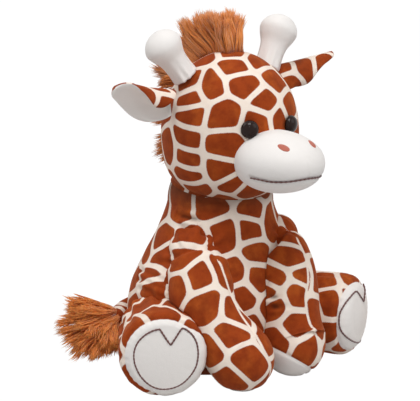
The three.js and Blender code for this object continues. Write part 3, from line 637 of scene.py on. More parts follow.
def printed_plush(name, colours):
    """Velour with rust-brown patches on cream, and white where the panel attribute is below zero.

    The patch attribute is the distance inside a patch; noise frays its edge. Slow noise paints sheen in
    lighter orange over the patches, and the painted shade attribute mixes the cloth toward a painted shade
    colour.
    """
    cloth = Material(name)
    fuzz, mottle, speck = cloth.noise(2200, 2, 0.6), cloth.noise(120, 4, 0.6), cloth.noise(900, 3, 0.7)
    fray = cloth.times(cloth.math("SUBTRACT", fuzz, 0.5), 0.9)
    inside = cloth.stepped(cloth.math("ADD", cloth.attribute("patch"), fray), -0.3, 0.3)
    dark = cloth.math("ADD", cloth.times(cloth.stepped(mottle, 0.35, 0.7), 0.55), cloth.times(speck, 0.3))
    # Painted sheen: slow noise lightens spots of the patches toward orange, standing in for light caught by
    # the pile.
    painted_nap_sheen = cloth.stepped(cloth.noise(48, 3, 0.55), 0.45, 0.75)
    lit = cloth.mixed(cloth.times(painted_nap_sheen, 0.5), colours.patch, colours.painted_nap_sheen)
    brown = cloth.mixed(dark, lit, colours.patch_dark)
    worn = cloth.mixed(cloth.times(cloth.stepped(mottle, 0.4, 0.75), 0.25), colours.line, colours.patch)
    cream = cloth.mixed(0.35, colours.line, worn)
    white = cloth.mixed(cloth.times(speck, 0.1), colours.white, colours.line)
    panel = cloth.stepped(cloth.attribute("panel"), -0.25, 0.25)
    colour = cloth.mixed(panel, white, cloth.mixed(inside, cream, brown))
    # Painted shade: the cloth darkens toward brown where its painted shade attribute is high.
    colour = cloth.creased(colour, cloth.mixed(0.68, colour, PAINTED_SHADE_BROWN))
    return cloth.finished(colour, cloth.pile(0.35), 0.85, PRINTED_SHEEN)


def white_plush(name, colours):
    """White velour with a faint grey mottle and fine pile."""
    cloth = Material(name)
    colour = cloth.mixed(cloth.times(cloth.noise(160, 4, 0.6), 0.12), colours.white, (0.55, 0.5, 0.48))
    sheen = {"Sheen Weight": 0.15, **VELOUR}
    # Painted shade: grey where the painted shade attribute is high; the white pieces set it to zero.
    return cloth.finished(cloth.creased(colour, PAINTED_SHADE_GREY), cloth.pile(0.3), 0.8, sheen)


def long_fur(name, colours):
    """Golden-brown fibres: each lock has its own tone, darker at the root, with a soft gloss along it."""
    fur = Material(name)
    streak = fur.noise(420, 3, 0.6)
    tone = fur.math("ADD", fur.times(fur.attribute("tone"), 0.45), fur.times(streak, 0.35))
    body = fur.mixed(tone, colours.fur, colours.fur_dark)
    colour = fur.mixed(fur.stepped(fur.attribute("along"), -0.2, 0.45), colours.fur_dark, body)
    gloss = {"Sheen Weight": 0.3, "Specular IOR Level": 0.3}
    return fur.finished(colour, fur.bump(streak, 0.4, 0.0005), 0.55, gloss)


def thread(name, colours):
    """Twisted embroidery thread: fine slanting bands along each stitch."""
    floss = Material(name)
    base = tuple(colours.thread if name == "dark_thread" else colours.nostril)
    light = tuple(min(1.0, value * 1.7 + 0.02) for value in base)
    colour = floss.mixed(floss.times(floss.noise(2600, 2, 0.6), 0.7), base, light)
    sources = {"Vector": floss.place, "Scale": 700.0, "Distortion": 1.5}
    bands = floss.add("ShaderNodeTexWave", sources, bands_direction="DIAGONAL").outputs[0]
    return floss.finished(colour, floss.bump(bands, 0.35, 0.0003), 0.55, {"Sheen Weight": 0.2})


def eye_plastic(name, colours):
    """Dark moulded plastic under a clear gloss, with a faint brown bloom and tiny moulding ripples."""
    gloss = Material(name)
    bloom = gloss.noise(180, 2, 0.5)
    colour = gloss.mixed(gloss.times(bloom, 0.4), colours.eye, (0.02, 0.007, 0.004))
    coat = {"Specular IOR Level": 0.12, "Coat Weight": 0.15, "Coat Roughness": 0.03}
    return gloss.finished(colour, gloss.bump(bloom, 0.05, 0.0002), 0.12, coat)


def plain_stuff(name, colours):
    """Hidden filling or moulded plastic: a faint mottle and a fine grain."""
    base, roughness = (colours.filling, 0.9) if name == "fibre_filling" else (linear(220, 220, 216), 0.5)
    stuff = Material(name)
    grain = stuff.noise(900, 4, 0.7)
    colour = stuff.mixed(grain, base, tuple(value * 0.75 for value in base))
    return stuff.finished(colour, stuff.bump(grain, 0.3, 0.0005), roughness)


MAKERS = {
    "velour_print": printed_plush, "velour_white": white_plush, "fur_locks": long_fur,
    "dark_thread": thread, "nostril_thread": thread, "eye_plastic": eye_plastic,
    "fibre_filling": plain_stuff, "washer_plastic": plain_stuff,
}


def finish(name):
    """A material by its name, made the first time that it is asked for."""
    return bpy.data.materials.get(name) or MAKERS[name](name, bpy.context.scene.giraffe_colours)


# ---- the forms


def torso_level(height):
    """Half-axes and middle of the torso at a height; its fourth power blends them to the neck's ball."""
    share = np.clip(height / NECK[2], 0, 1)
    swell = through(TORSO_SWELL, share)
    rounding = share**4
    wide = TORSO_WIDTH / 2 * swell
    deep = TORSO_DEPTH / 2 * swell
    return wide + (NECK_RADIUS - wide) * rounding, deep + (NECK_RADIUS - deep) * rounding, NECK[1] * share


def torso_points(rings, sides):
    """Ovals from the seat's middle out to its edge, up the pear, and over the neck's ball."""
    seat, dome = rings // 10, rings // 5
    body = rings - seat - dome
    ring = np.arange(rings + 1)
    height = np.clip((ring - seat) / body, 0, 1) * NECK[2]
    turn = np.clip((ring - seat - body) / dome, 0, 1) * np.pi / 2
    size = np.minimum(1, ring / seat) * np.cos(turn)
    wide, deep, middle = torso_level(height)
    angle = circle(sides)
    lift = height + NECK_RADIUS * np.sin(turn)
    x = (wide * size)[:, None] * np.sin(angle)
    y = middle[:, None] - (deep * size)[:, None] * np.cos(angle)
    z = np.repeat(lift[:, None], sides, axis=1)
    return np.stack([x, y, z], axis=-1)


def clear_of_torso(points, gap):
    """Points inside the torso pushed level out of it, or straight out of the neck's ball above."""
    wide, deep, middle = torso_level(points[..., 2])
    x, y = points[..., 0], points[..., 1] - middle
    reach = np.hypot(x / (wide + gap), y / (deep + gap))
    push = np.where((reach < 1) & (points[..., 2] < NECK[2]), 1 / np.maximum(reach, 0.05), 1)
    out = points.copy()
    out[..., 0] = x * push
    out[..., 1] = middle + y * push
    away = points - NECK
    far = np.linalg.norm(away, axis=-1)
    above = (points[..., 2] >= NECK[2]) & (far < NECK_RADIUS + gap)
    raised_out = NECK + away * ((NECK_RADIUS + gap) / np.maximum(far, 1))[..., None]
    return np.where(above[..., None], raised_out, out)


def turned_about(points, pivot, degrees):
    """Points turned about the sideways axis through a pivot; a positive turn tips what lies ahead down."""
    a = np.radians(degrees)
    away = points - pivot
    y = away[..., 1] * np.cos(a) - away[..., 2] * np.sin(a)
    z = away[..., 1] * np.sin(a) + away[..., 2] * np.cos(a)
    return pivot + np.stack([away[..., 0], y, z], axis=-1)


def on_floor(points, soft=0.6):
    """Points below the floor laid on it, with the cloth just above it easing down."""
    out = points.copy()
    z = out[..., 2]
    out[..., 2] = np.maximum(np.where(z < soft, soft * np.exp(np.minimum(z / soft - 1, 0)), z), 0.02)
    return out


def head_level(share):
    """Half-axes of the head at a share of its height, and how far its middle leans."""
    swell = through(HEAD_SWELL, share)
    return HEAD_WIDTH / 2 * swell, HEAD_DEPTH / 2 * swell, -HEAD_LEAN * (share - 0.5)


def head_points(rings, sides):
    """Ovals from the foot of the head to its crown, leaning a little ahead as they rise."""
    share = eased(rings + 1)
    wide, deep, lean = head_level(share)
    angle = circle(sides)
    x = wide[:, None] * np.sin(angle)
    y = (HEAD_FOOT[1] + lean)[:, None] - deep[:, None] * np.cos(angle)
    z = np.repeat((HEAD_FOOT[2] + HEAD_HEIGHT * share)[:, None], sides, axis=1)
    return np.stack([x, y, z], axis=-1)


def dished(points, gap):
    """Points inside the neck's ball pushed straight out to its surface and a gap."""
    away = points - NECK
    far = np.linalg.norm(away, axis=-1, keepdims=True)
    reach = NECK_RADIUS + gap
    return np.where(far < reach, NECK + away * (reach / np.maximum(far, 1)), points)


def muzzle_points(rings, sides):
    """A blunt ball on its side: each direction's reach is set by the sum of its three sides' blunt powers."""
    x, y, z = (sign * value for sign, value in zip((1, -1, -1), ball(rings, sides)))
    reach = sum(np.abs(value) ** MUZZLE_BLUNT for value in (x, y, z)) ** (-1 / MUZZLE_BLUNT)
    return MUZZLE + muzzle_swell(x * reach, y * reach, z * reach)


def muzzle_swell(x, y, z):
    """A unit ball swollen to the muzzle: narrower behind and above, sloping down ahead, fuller below."""
    half = MUZZLE_SIZE / 2
    wide = half[0] * (1 - 0.12 * smooth(-0.2, 0.7, y)) * (1 - 0.1 * np.clip(z, 0, 1) ** 2)
    lower = 1 - 0.04 * np.clip(-z, 0, 1)
    slope = 1 - 0.05 * smooth(-0.1, 0.5, z)
    return np.stack([wide * x, half[1] * y * lower, half[2] * z * slope], axis=-1)


def on_muzzle(x, z):
    """The place on the front of the muzzle at a distance across and a height, found by a few corrections."""
    half = MUZZLE_SIZE / 2
    b = np.clip((z - MUZZLE[2]) / half[2], -1, 1)
    a = x / half[0]
    for _ in range(12):
        place = muzzle_swell(a, ahead(a, b), b)
        b = np.clip(b + ((z - MUZZLE[2]) - place[..., 2]) / half[2], -1, 1)
        a = np.clip(a * x / np.where(np.abs(place[..., 0]) < 1e-6, 1e-6, place[..., 0]), -1, 1)
        a = np.where(np.abs(x) < 1e-6, 0, a)
    return MUZZLE + muzzle_swell(a, ahead(a, b), b)


def ahead(a, b):
    """How far ahead the muzzle's blunt ball reaches at a share across and a share up."""
    rest = 1 - np.abs(a) ** MUZZLE_BLUNT - np.abs(b) ** MUZZLE_BLUNT
    return -(np.clip(rest, 0, 1) ** (1 / MUZZLE_BLUNT))


def mouth_path(count=41):
    """The mouth's line across the muzzle: a low hump in the middle, and its ends turned up."""
    x = 26.3 * np.sin(np.linspace(-np.pi / 2, np.pi / 2, count))
    z = 143.9 + 2.0 * bell(x, 13) + 1.0 * smooth(20, 26, np.abs(x))
    return on_muzzle(x, z)


# ---- finishing a piece


def dress(piece, body, replaced=()):
    """Rides a finished piece on its body, and hides the solids that it stands for."""
    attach(piece, body)
    if replaced:
        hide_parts(*replaced)


def printed_piece(name, points, body, replaced, patch, panel=None, crease=None):
    """A padded piece of printed plush; with no panel it has no white part, and with no painted shade given
    none is painted on it.
    """
    panel = plain(points, 5) if panel is None else panel
    crease = plain(points) if crease is None else crease
    made = closed_mesh(name, points, "velour_print", patch=patch, panel=panel, crease=crease)
    dress(made, body, replaced)


def white_piece(name, points, body, replaced):
    """A padded piece of white plush."""
    # No shade is painted on the white pieces.
    made = closed_mesh(name, points, "velour_white", crease=plain(points))
    dress(made, body, replaced)


def stitches(name, path, body, rings, sides, radius, swell, count, ends, sideways=UP):
    """A line of thread along a path: its radius rises and falls once a stitch, and its ends are rounded."""
    spine, share, length = even(path, rings)
    radii = (radius + swell * np.sin(share * 2 * np.pi * count)) * capped(share, length, ends, ends)
    dress(closed_mesh(name, tube_points(spine, radii, sides, sideways), "dark_thread"), body)


class GIRAFFE_OT_torso(bpy.types.Operator):
    """Sews the pear-shaped torso of printed plush, sat flat on its seat."""

    bl_idname = "giraffe.torso"
    bl_label = "Torso"

    def execute(self, context):
        sizes = context.scene.giraffe_sizes
        points = torso_points(rings=150, sides=220)
        height = lumps(points, size=26, height=0.7, seed=0.4)
        for side in SIDE_NAMES:
            way = leg_way(side)
            hip, shoulder = HIP[side] + 22 * way, SHOULDER[side] + [side * 4, -4, -3]
            height += gathers(points, hip, way, 30, pleats=17, depth=1.3, reach=11, phase=0.7 * side)
            height += gathers(points, shoulder, ARM_WAY[side], 19, pleats=13, depth=0.7, reach=7, phase=side)
        level = np.linspace(4, 140, 30)
        _, deep, middle = torso_level(level)
        height += seam(points, np.stack([0 * level, middle + deep, level], axis=-1), sizes.seam_depth / MM)
        # The folds press the cloth in and paint shade along their valleys.
        pressed, crease = folds(points, TORSO_FOLDS, depth=3.1, width=1.8)
        # Painted shade under the chin: the torso darkens toward the top of the neck.
        painted_shade_under_chin = 0.85 * smooth(104, 128, points[..., 2])
        points = on_floor(raised(points, (height + pressed) * smooth(1, 9, points[..., 2])))
        printed_piece(
            "torso_cloth", points, "torso", ["torso_skin", "torso_stuffing", "pellet_bag"],
            printed(points, TORSO_PATCHES, sizes, seed=0.3), crease=np.maximum(crease, painted_shade_under_chin),
        )
        return {"FINISHED"}


class GIRAFFE_OT_head(bpy.types.Operator):
    """Sews the round head of printed plush, dished underneath over the neck's ball."""

    bl_idname = "giraffe.head"
    bl_label = "Head"

    def execute(self, context):
        sizes = context.scene.giraffe_sizes
        points = head_points(rings=150, sides=240)
        height = lumps(points, size=22, height=0.35, seed=1.1)
        for side in SIDE_NAMES:
            height -= 1.3 * bell(away_from(points, [side * EYE_SPREAD, -63, EYE_LEVEL]), 7.5)
        points = dished(raised(points, height), gap=0.4)
        # Painted shade on the underside of the head, fading out as the head rises.
        printed_piece(
            "head_cloth", points, "head", ["head_skin", "head_stuffing"],
            printed(points, HEAD_PATCHES, sizes, seed=1.7), crease=0.5 * smooth(-144, -124, -points[..., 2]),
        )
        return {"FINISHED"}


class GIRAFFE_OT_muzzle(bpy.types.Operator):
    """Sews the white muzzle and embroiders its mouth and nostrils."""

    bl_idname = "giraffe.muzzle"
    bl_label = "Muzzle, mouth and nostrils"

    def execute(self, context):
        points = muzzle_points(rings=120, sides=180)
        mouth = mouth_path()
        middle = on_muzzle(np.zeros(12), np.linspace(145.5, 160, 12))
        height = lumps(points, size=17, height=0.35, seed=2)
        height += seam(points, mouth, 1.1, reach=1.6, pucker=0.15, step=4)
        height += seam(points, middle, 0.5, reach=0.8, pucker=0)
        white_piece("muzzle_cloth", raised(points, height), "head", ["muzzle_skin"])
        stitches(
            "mouth_stitch", mouth + [0, 0.25, 0], "head",
            rings=160, sides=10, radius=0.5, swell=0.12, count=26, ends=1.67,
        )
        for side, name in SIDE_NAMES.items():
            high, wide, out = ball(24, 72)
            a, b, out = 2.9 * wide, 2.5 * high, 0.75 * out
            rows = 0.16 * np.cos(2 * np.pi * a / 0.85) * np.clip(out, 0, 1)
            base = on_muzzle(side * 11.6 + a * 0.9, 165.9 + b * 0.75 - 0.05 * a * side)
            pad = base + (out + rows)[..., None] * unit(base[0].mean(axis=0) - MUZZLE)
            dress(closed_mesh(f"nostril_{name}", pad, "nostril_thread"), "head")
        return {"FINISHED"}


class GIRAFFE_OT_ossicones(bpy.types.Operator):
    """Sews the two white ossicones, each a stem that swells into a bulb."""

    bl_idname = "giraffe.ossicones"
    bl_label = "Ossicones"

    def execute(self, context):
        for side, name in SIDE_NAMES.items():
            foot, bulb = OSSICONE_FOOT[side], OSSICONE_BULB[side]
            way = unit(bulb - foot)
            spine, share, length = even(catmull([foot, (foot + bulb) / 2, bulb, bulb + 13 * way], 60), 70)
            radii = through(OSSICONE_SWELL, share) * capped(share, length, 2.3, 13)
            points = tube_points(spine, radii, 72, ACROSS)
            height = lumps(points, size=9, height=0.25, seed=3 * side)
            ring = foot + 0.1 * (bulb - foot)
            height += gathers(points, ring, way, 10, pleats=9, depth=0.35, reach=5, phase=side)
            replaced = [f"ossicone_skin_{name}", f"ossicone_stuffing_{name}"]
            white_piece(f"ossicone_cloth_{name}", raised(points, height), "head", replaced)
        return {"FINISHED"}


class GIRAFFE_OT_eyes(bpy.types.Operator):
    """Moulds the glossy domed eyes on their shanks, and finishes the washers inside."""

    bl_idname = "giraffe.eyes"
    bl_label = "Eyes and washers"

    def execute(self, context):
        wide, deep, lean = (float(value) for value in head_level((EYE_LEVEL - HEAD_FOOT[2]) / HEAD_HEIGHT))
        forward = -deep * np.sqrt(1 - (EYE_SPREAD / wide) ** 2)
        turn = np.linspace(0, np.pi / 2, 16)
        dome = np.stack([EYE_DOME[0] * np.cos(turn), EYE_RIM + EYE_DOME[1] * np.sin(turn)], axis=-1)
        profile = np.vstack([EYE_BACK, dome])
        for side, name in SIDE_NAMES.items():
            centre = np.array([side * EYE_SPREAD, HEAD_FOOT[1] + lean + forward, EYE_LEVEL])
            way = unit(np.array([side * EYE_SPREAD / wide**2, forward / deep**2, 0]))
            level = level_of(way)
            ring = around(circle(48), level, np.cross(level, way))
            points = centre + profile[:, None, :1] * ring + profile[:, None, 1:] * way
            made = closed_mesh(f"eye_gloss_{name}", points, "eye_plastic")
            dress(made, "head", [f"eye_{name}"])
            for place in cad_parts[f"eye_washer_{name}"].material_slots:
                place.material = finish("washer_plastic")
        return {"FINISHED"}


class GIRAFFE_OT_ears(bpy.types.Operator):
    """Folds each ear from a leaf of two cloths, printed outside and white inside.

    Each ring is an arc square to the ear's spine, tighter above it than below. It runs up along the printed
    cloth and back down along the white one, which lie half a thickness to each side of the arc.
    """

    bl_idname = "giraffe.ears"
    bl_label = "Ears"

    def execute(self, context):
        sizes = context.scene.giraffe_sizes
        along = eased(61)
        row = np.linspace(-1, 1, 32)
        across = np.concatenate([row, -row])
        inner = np.repeat([False, True], 32)
        upper = (across > 0)[None]
        for side, name in SIDE_NAMES.items():
            ear = EARS[side]
            root = EAR_ROOT[side] + ear["shift"]
            way = unit(np.array(ear["tip"], float) - root)
            angle = np.radians(ear["turn"])
            facing = np.array([0, -np.sin(angle), -np.cos(angle)])
            facing = unit(facing - (facing @ way) * way)
            wide = np.cross(way, facing)
            wide = -wide if wide[2] < 0 else wide
            high, low = ear["scale"] * through(ear["high"], along), ear["low"] * through(EAR_LOW, along)
            half = np.where(upper, high[:, None], low[:, None])
            tight = np.interp(along, *ear["tight"])[:, None]
            loose = np.interp(along, [0, 0.35, 1], [8, 17, 34])[:, None]
            curl = 1 / np.where(upper, tight, loose)
            bend = across[None] * half * curl
            hump = np.sin(np.pi * along)
            lift = (1 - np.cos(bend)) / curl - 0.35 * (6 * hump)[:, None]
            thick = EAR_THICKNESS * np.sqrt(np.clip(1 - across**4, 0.02, 1)) * np.where(inner, 1, -1)
            spine = root + way * (ear["start"] + ear["length"] * along)[:, None]
            spine = spine + facing * (2.5 * hump)[:, None]
            spine = spine + UP * (ear["rise"] * smooth(-0.05, 0.2, along) * (1 - along))[:, None]
            normal = np.cos(bend)[..., None] * facing - np.sin(bend)[..., None] * wide
            points = spine[:, None] + (np.sin(bend) / curl)[..., None] * wide
            points = points + lift[..., None] * facing + thick[None, :, None] * normal
            points[[0, -1]] = points[[0, -1]].mean(axis=1, keepdims=True)
            points = raised(points, lumps(points, size=8, height=0.25, seed=side))
            # Painted shade round the ear's root, in the hollow where it meets the head.
            place, reach, depth = ear["shade"]
            shade = depth * bell(away_from(points, root + place * way), reach)
            printed_piece(
                f"ear_cloth_{name}", points, f"ear_{name}", [f"ear_back_{name}", f"ear_lining_{name}"],
                printed(points, [root + way * 18 + wide * 8], sizes, seed=side, spacing=0.75),
                np.where(inner, -1.0, 1.0) * (0.3 + half * (1 - np.abs(across))), shade,
            )
        return {"FINISHED"}


def leg_way(side):
    """The direction from the hip to the sole."""
    splay = np.radians(LEG_SPLAY)
    return np.array([side * np.sin(splay), -np.cos(splay), 0.0])


def leg_profile(side, rings):
    """Each ring's distance along the leg and radius: a ball at the hip, a tube, a rounding, a domed sole."""
    arc = np.interp(np.linspace(0, 1, rings + 1), [0, 0.25, 0.6, 0.82, 1], [-1, 0, 1, 1.5, 2])
    turn = np.clip(-arc, 0, 1) * np.pi / 2
    corner = np.clip((arc - 1) / 0.5, 0, 1) * np.pi / 2
    flat = np.clip((arc - 1.5) / 0.5, 0, 1)
    tube = np.clip(arc, 0, 1)
    rounding = SOLE_ROUNDING[side]
    radius = np.where(arc < 0, HIP_RADIUS * np.cos(turn), through(LEG_SWELL, tube))
    radius = (radius - rounding * (1 - np.cos(corner))) * (1 - flat)
    far = np.where(arc < 0, -HIP_RADIUS * np.sin(turn), tube * (LEG_LENGTH - rounding))
    return far + rounding * np.sin(corner) + 1.5 * np.sin(flat * np.pi / 2), radius


def leg_points(side, rings, sides):
    """The leg's profile carried round its axis, and how far along the leg each point lies."""
    way = leg_way(side)
    far, radius = leg_profile(side, rings)
    ring = around(circle(sides), level_of(way), UP)
    points = HIP[side] + far[:, None, None] * way + radius[:, None, None] * ring
    return points, np.repeat(far[:, None], sides, axis=1)


def on_sole(side, across, height, lift):
    """A place on the rounded sole, at a distance from the middle along the cloth, also over the edge."""
    far, radius = (values[::-1] for values in leg_profile(side, 400))
    reach = np.concatenate([[0], np.cumsum(np.hypot(np.diff(far), np.diff(radius)))])
    distance = np.hypot(across, height)
    step = reach + 1e-9 * np.arange(len(reach))
    out_far = np.interp(distance, reach, np.gradient(radius, step))
    out_radius = -np.interp(distance, reach, np.gradient(far, step))
    size = np.hypot(out_far, out_radius) + 1e-9
    along = np.interp(distance, reach, far) + lift * out_far / size
    from_axis = np.interp(distance, reach, radius) + lift * out_radius / size
    share = (from_axis / np.maximum(distance, 1e-6))[:, None]
    way = leg_way(side)
    square = across[:, None] * level_of(way) + height[:, None] * UP
    return HIP[side] + along[:, None] * way + share * square


class GIRAFFE_OT_legs(bpy.types.Operator):
    """Sews the legs with their white soles and the stitched outline of each cloven hoof."""

    bl_idname = "giraffe.legs"
    bl_label = "Legs, soles and hooves"

    def execute(self, context):
        sizes = context.scene.giraffe_sizes
        for side, name in SIDE_NAMES.items():
            way = leg_way(side)
            points, far = leg_points(side, rings=130, sides=150)
            sideways = (points - HIP[side]) @ level_of(way)
            rise = points[..., 2] - HIP[side][2]
            if side == RIGHT:
                seam_far = LEG_LENGTH - 2.2 - 9 * smooth(3, 24, -0.5 * rise - 0.85 * sideways)
            else:
                seam_far = LEG_LENGTH - 3.5 - 4 * smooth(-6, 27, sideways)
            panel = np.where(far > LEG_LENGTH - 0.3, -20, seam_far - far)
            height = lumps(points, size=15, height=0.5, seed=2 + side)
            height -= sizes.seam_depth / MM * bell(panel, 1.3)
            ripple = np.cos(34 * np.arctan2(rise, sideways) + side) * np.exp(-np.abs(panel) / 3) * 0.22
            root = HIP[side] + 12 * way
            height += ripple + gathers(points, root, way, 28, pleats=15, depth=0.9, reach=13, phase=side)
            points = on_floor(raised(points, height))
            replaced = [f"leg_skin_{name}", f"leg_stuffing_{name}", f"foot_sole_{name}"]
            patch = printed(points, LEG_PATCHES[side], sizes, seed=4 + side)
            printed_piece(f"leg_cloth_{name}", points, f"leg_{name}", replaced, patch, panel)
            hoof = catmull(HOOF, 320)
            if side == LEFT:
                hoof[:, 0] = np.interp(hoof[:, 0], *HOOF_LEFT)
            path = on_sole(side, *hoof.T, lift=0.15)
            stitches(
                f"hoof_stitch_{name}", path, f"leg_{name}",
                rings=300, sides=8, radius=0.6, swell=0.1, count=60, ends=2, sideways=way,
            )
        return {"FINISHED"}


def beyond_seam(points, side):
    """How far outward of the arm's front seam each point lies, straight across."""
    front = catmull(ARM_SEAM[side], 80)[::-1]
    return side * (points[..., 0] - np.interp(points[..., 2], front[:, 2], front[:, 0]))


def clear_of_leg(points, side, gap):
    """Points inside the leg pushed straight out from its axis."""
    way = leg_way(side)
    away = points - HIP[side]
    along = away @ way
    square = away - along[..., None] * way
    far = np.linalg.norm(square, axis=-1)
    narrower = np.where(along > LEG_LENGTH - 8, (along - LEG_LENGTH + 8) * 0.6, 0.6)
    reach = FOOT_RADIUS - narrower + gap
    inside = (far < reach) & (along < LEG_LENGTH) & (along > -10)
    push = np.where(inside, reach / np.maximum(far, 1), 1)
    return HIP[side] + along[..., None] * way + square * push[..., None]


def arm_points(side):
    """A ball at the shoulder that runs on as a tube, pushed clear of the torso at each turn of the joint."""
    path = catmull(ARM_SPINE[side], 120)
    back = unit(path[0] - path[4])
    path = np.vstack([path[0] + back * np.linspace(ARM_BALL, 1, 12)[:, None], path])
    spine, share, length = even(path, 141)
    far = share * length - ARM_BALL
    round_end = np.sqrt(np.clip((ARM_BALL + 0.1) ** 2 - far**2, 0, None))
    tube = through(ARM_SWELL, np.clip(far / (length - ARM_BALL), 0, 1)) * smooth(-2, 9, far)
    radii = np.maximum(round_end, tube) * capped(share, length, 0.5, 22.5)
    points = tube_points(spine, radii, 140, ACROSS)
    points = raised(points, lumps(points, size=15, height=0.6, seed=5 + side))
    free = smooth(17, 25, away_from(points, SHOULDER[side]))[..., None]
    cleared = points
    for degrees in (45, 30, 15, 0):
        turned = turned_about(cleared, SHOULDER[side], -degrees)
        cleared = turned_about(clear_of_torso(turned, gap=0.8), SHOULDER[side], degrees)
    points = on_floor(clear_of_leg(points + (cleared - points) * free, side, gap=0.5))
    root = SHOULDER[side] + [side * 2, -5, -4]
    return raised(points, gathers(points, root, ARM_WAY[side], 18, pleats=12, depth=0.7, reach=8, phase=side))


class GIRAFFE_OT_arms(bpy.types.Operator):
    """Sews the arms, pressed flat where they lie on the torso, with white undersides to the paws.

    Each side of the front seam is printed from its own patch middles, so the patches break at the seam.
    """

    bl_idname = "giraffe.arms"
    bl_label = "Arms and paws"

    def execute(self, context):
        sizes = context.scene.giraffe_sizes
        for side, name in SIDE_NAMES.items():
            points = arm_points(side)
            panel = points[..., 2] - (1.5 if side == RIGHT else 8 - 0.68 * (points[..., 0] - 20))
            points = on_floor(raised(points, -0.9 * bell(panel, 1.4)))
            # The folds press the cloth in and paint shade along their valleys.
            pressed, crease = folds(points, ARM_FOLDS[side], depth=2.0, width=1.7)
            valley = 0.7 * sizes.seam_depth / MM * bell(beyond_seam(points, side), 1.5)
            points = on_floor(raised(points, pressed - valley))
            outer = beyond_seam(points, side)
            middles = np.array(ARM_PATCHES[side], float)
            halves = [
                printed(points, middles[half * beyond_seam(middles, side) > -2], sizes, seed + side)
                for half, seed in ((-1, 3.1), (1, 7.4))
            ]
            fade = 3 * smooth(-28, -20, -away_from(points, SHOULDER[side]))
            patch = np.minimum(np.where(outer < 0, *halves), 0.8 * np.abs(outer) - 0.8 + fade)
            replaced = [f"arm_skin_{name}", f"arm_stuffing_{name}", f"paw_sole_{name}"]
            printed_piece(f"arm_cloth_{name}", points, f"arm_{name}", replaced, patch, panel, crease)
        return {"FINISHED"}


def clumped(rng, roots, ways, lengths, size, pull):
    """Clumps of fur: each lock takes its way and length from the nearest clump, which draws its tip in."""
    count = len(roots)
    heads = rng.choice(count, max(8, count // size), replace=False)
    nearest = np.argmin(((roots[:, None] - roots[heads][None]) ** 2).sum(-1), axis=1)
    head = heads[nearest]
    new_ways = unit(0.85 * ways[head] + 0.15 * ways + rng.normal(scale=0.03, size=(count, 3)))
    new_lengths = lengths[head] * rng.uniform(0.82, 1.04, count)
    drawn = pull * (roots[head] - roots) * rng.uniform(0.6, 1.0, (count, 1))
    return new_ways, new_lengths, drawn, (nearest * 0.618) % 1


def locks(name, sizes, rng, roots, ways, lengths, clumps, widths, droop, start=0, shade=1.0):
    """Tapered three-sided locks: each spine leaves its root along its way, bends, and narrows to its tip.

    Clumps holds how many locks a clump has and how strongly it pulls. Widths are the least and the greatest
    width, start is the way from a root to where its clump is looked for, and shade is how dark the fur is
    painted: below 1 the locks are painted lighter, a painted light where the fur lies in shade.
    A spine is its root, plus its way times a share of its length, plus a sideways bend and a fall that grow
    with the share's square, a pull to the clump's tip, and a curl that is the same for the whole clump.
    """
    ways, lengths, drawn, tones = clumped(rng, roots + start, ways, lengths, *clumps)
    count = len(roots)
    widths = sizes.strand_width / MM * rng.uniform(*widths, count)
    share = np.linspace(0, 1, LOCK_SEGMENTS + 1)
    sideways = unit(np.cross(ways, rng.normal(size=(count, 3))))
    bend = rng.normal(scale=0.05, size=(count, 1)) * lengths[:, None]
    spine = roots[:, None] + ways[:, None] * (lengths[:, None] * share)[..., None]
    spine = spine + sideways[:, None] * (bend * share**2)[..., None]
    swirl = 2 * np.pi * (0.7 * share[None] + 5 * tones[:, None])
    curl = np.stack([np.cos(swirl), np.sin(1.7 * swirl), 0 * swirl], axis=-1)
    spine = spine + 0.045 * lengths[:, None, None] * (curl - curl[:, :1])
    spine = spine + drawn[:, None] * (share**1.6)[None, :, None]
    spine[..., 2] -= droop * lengths[:, None] * share**2
    tangent = unit(np.gradient(spine, axis=1))
    first = unit(np.cross(tangent, sideways[:, None]))
    taper = widths[:, None] * np.sqrt(np.clip(1 - share**1.5, 0, 1))[None]
    ring = around(circle(3), first[:, :, None], np.cross(tangent, first)[:, :, None])
    body = spine[:, :-1, None] + ring[:, :-1] * taper[:, :-1, None, None]
    per = LOCK_SEGMENTS * 3 + 1
    vertices = np.concatenate([body.reshape(count, -1, 3), spine[:, -1:]], axis=1).reshape(-1, 3)
    low = (np.arange(count) * per)[:, None, None] + 3 * np.arange(LOCK_SEGMENTS)[:, None]
    j = np.arange(3)
    k = (j + 1) % 3
    quads = np.stack([low + j, low + k, low + 3 + k, low + 3 + j], axis=-1)[:, :-1]
    top = low[:, -1]
    cap = np.stack([top + j, top + k, np.broadcast_to(low[:, 0] + per - 1, (count, 3))], axis=-1)
    foot = low[:, 0] + [2, 1, 0]
    faces = [*map(tuple, quads.reshape(-1, 4)), *map(tuple, cap.reshape(-1, 3)), *map(tuple, foot)]
    tone = shade * (0.6 * tones + 0.4 * rng.random(count)) + shade - 1
    along = np.tile(np.concatenate([np.repeat(share[:-1], 3), [1.0]]), count)
    attributes = {"tone": np.repeat(tone, per), "along": along}
    return mesh_object(name, on_floor(vertices, soft=6), faces, "fur_locks", attributes)


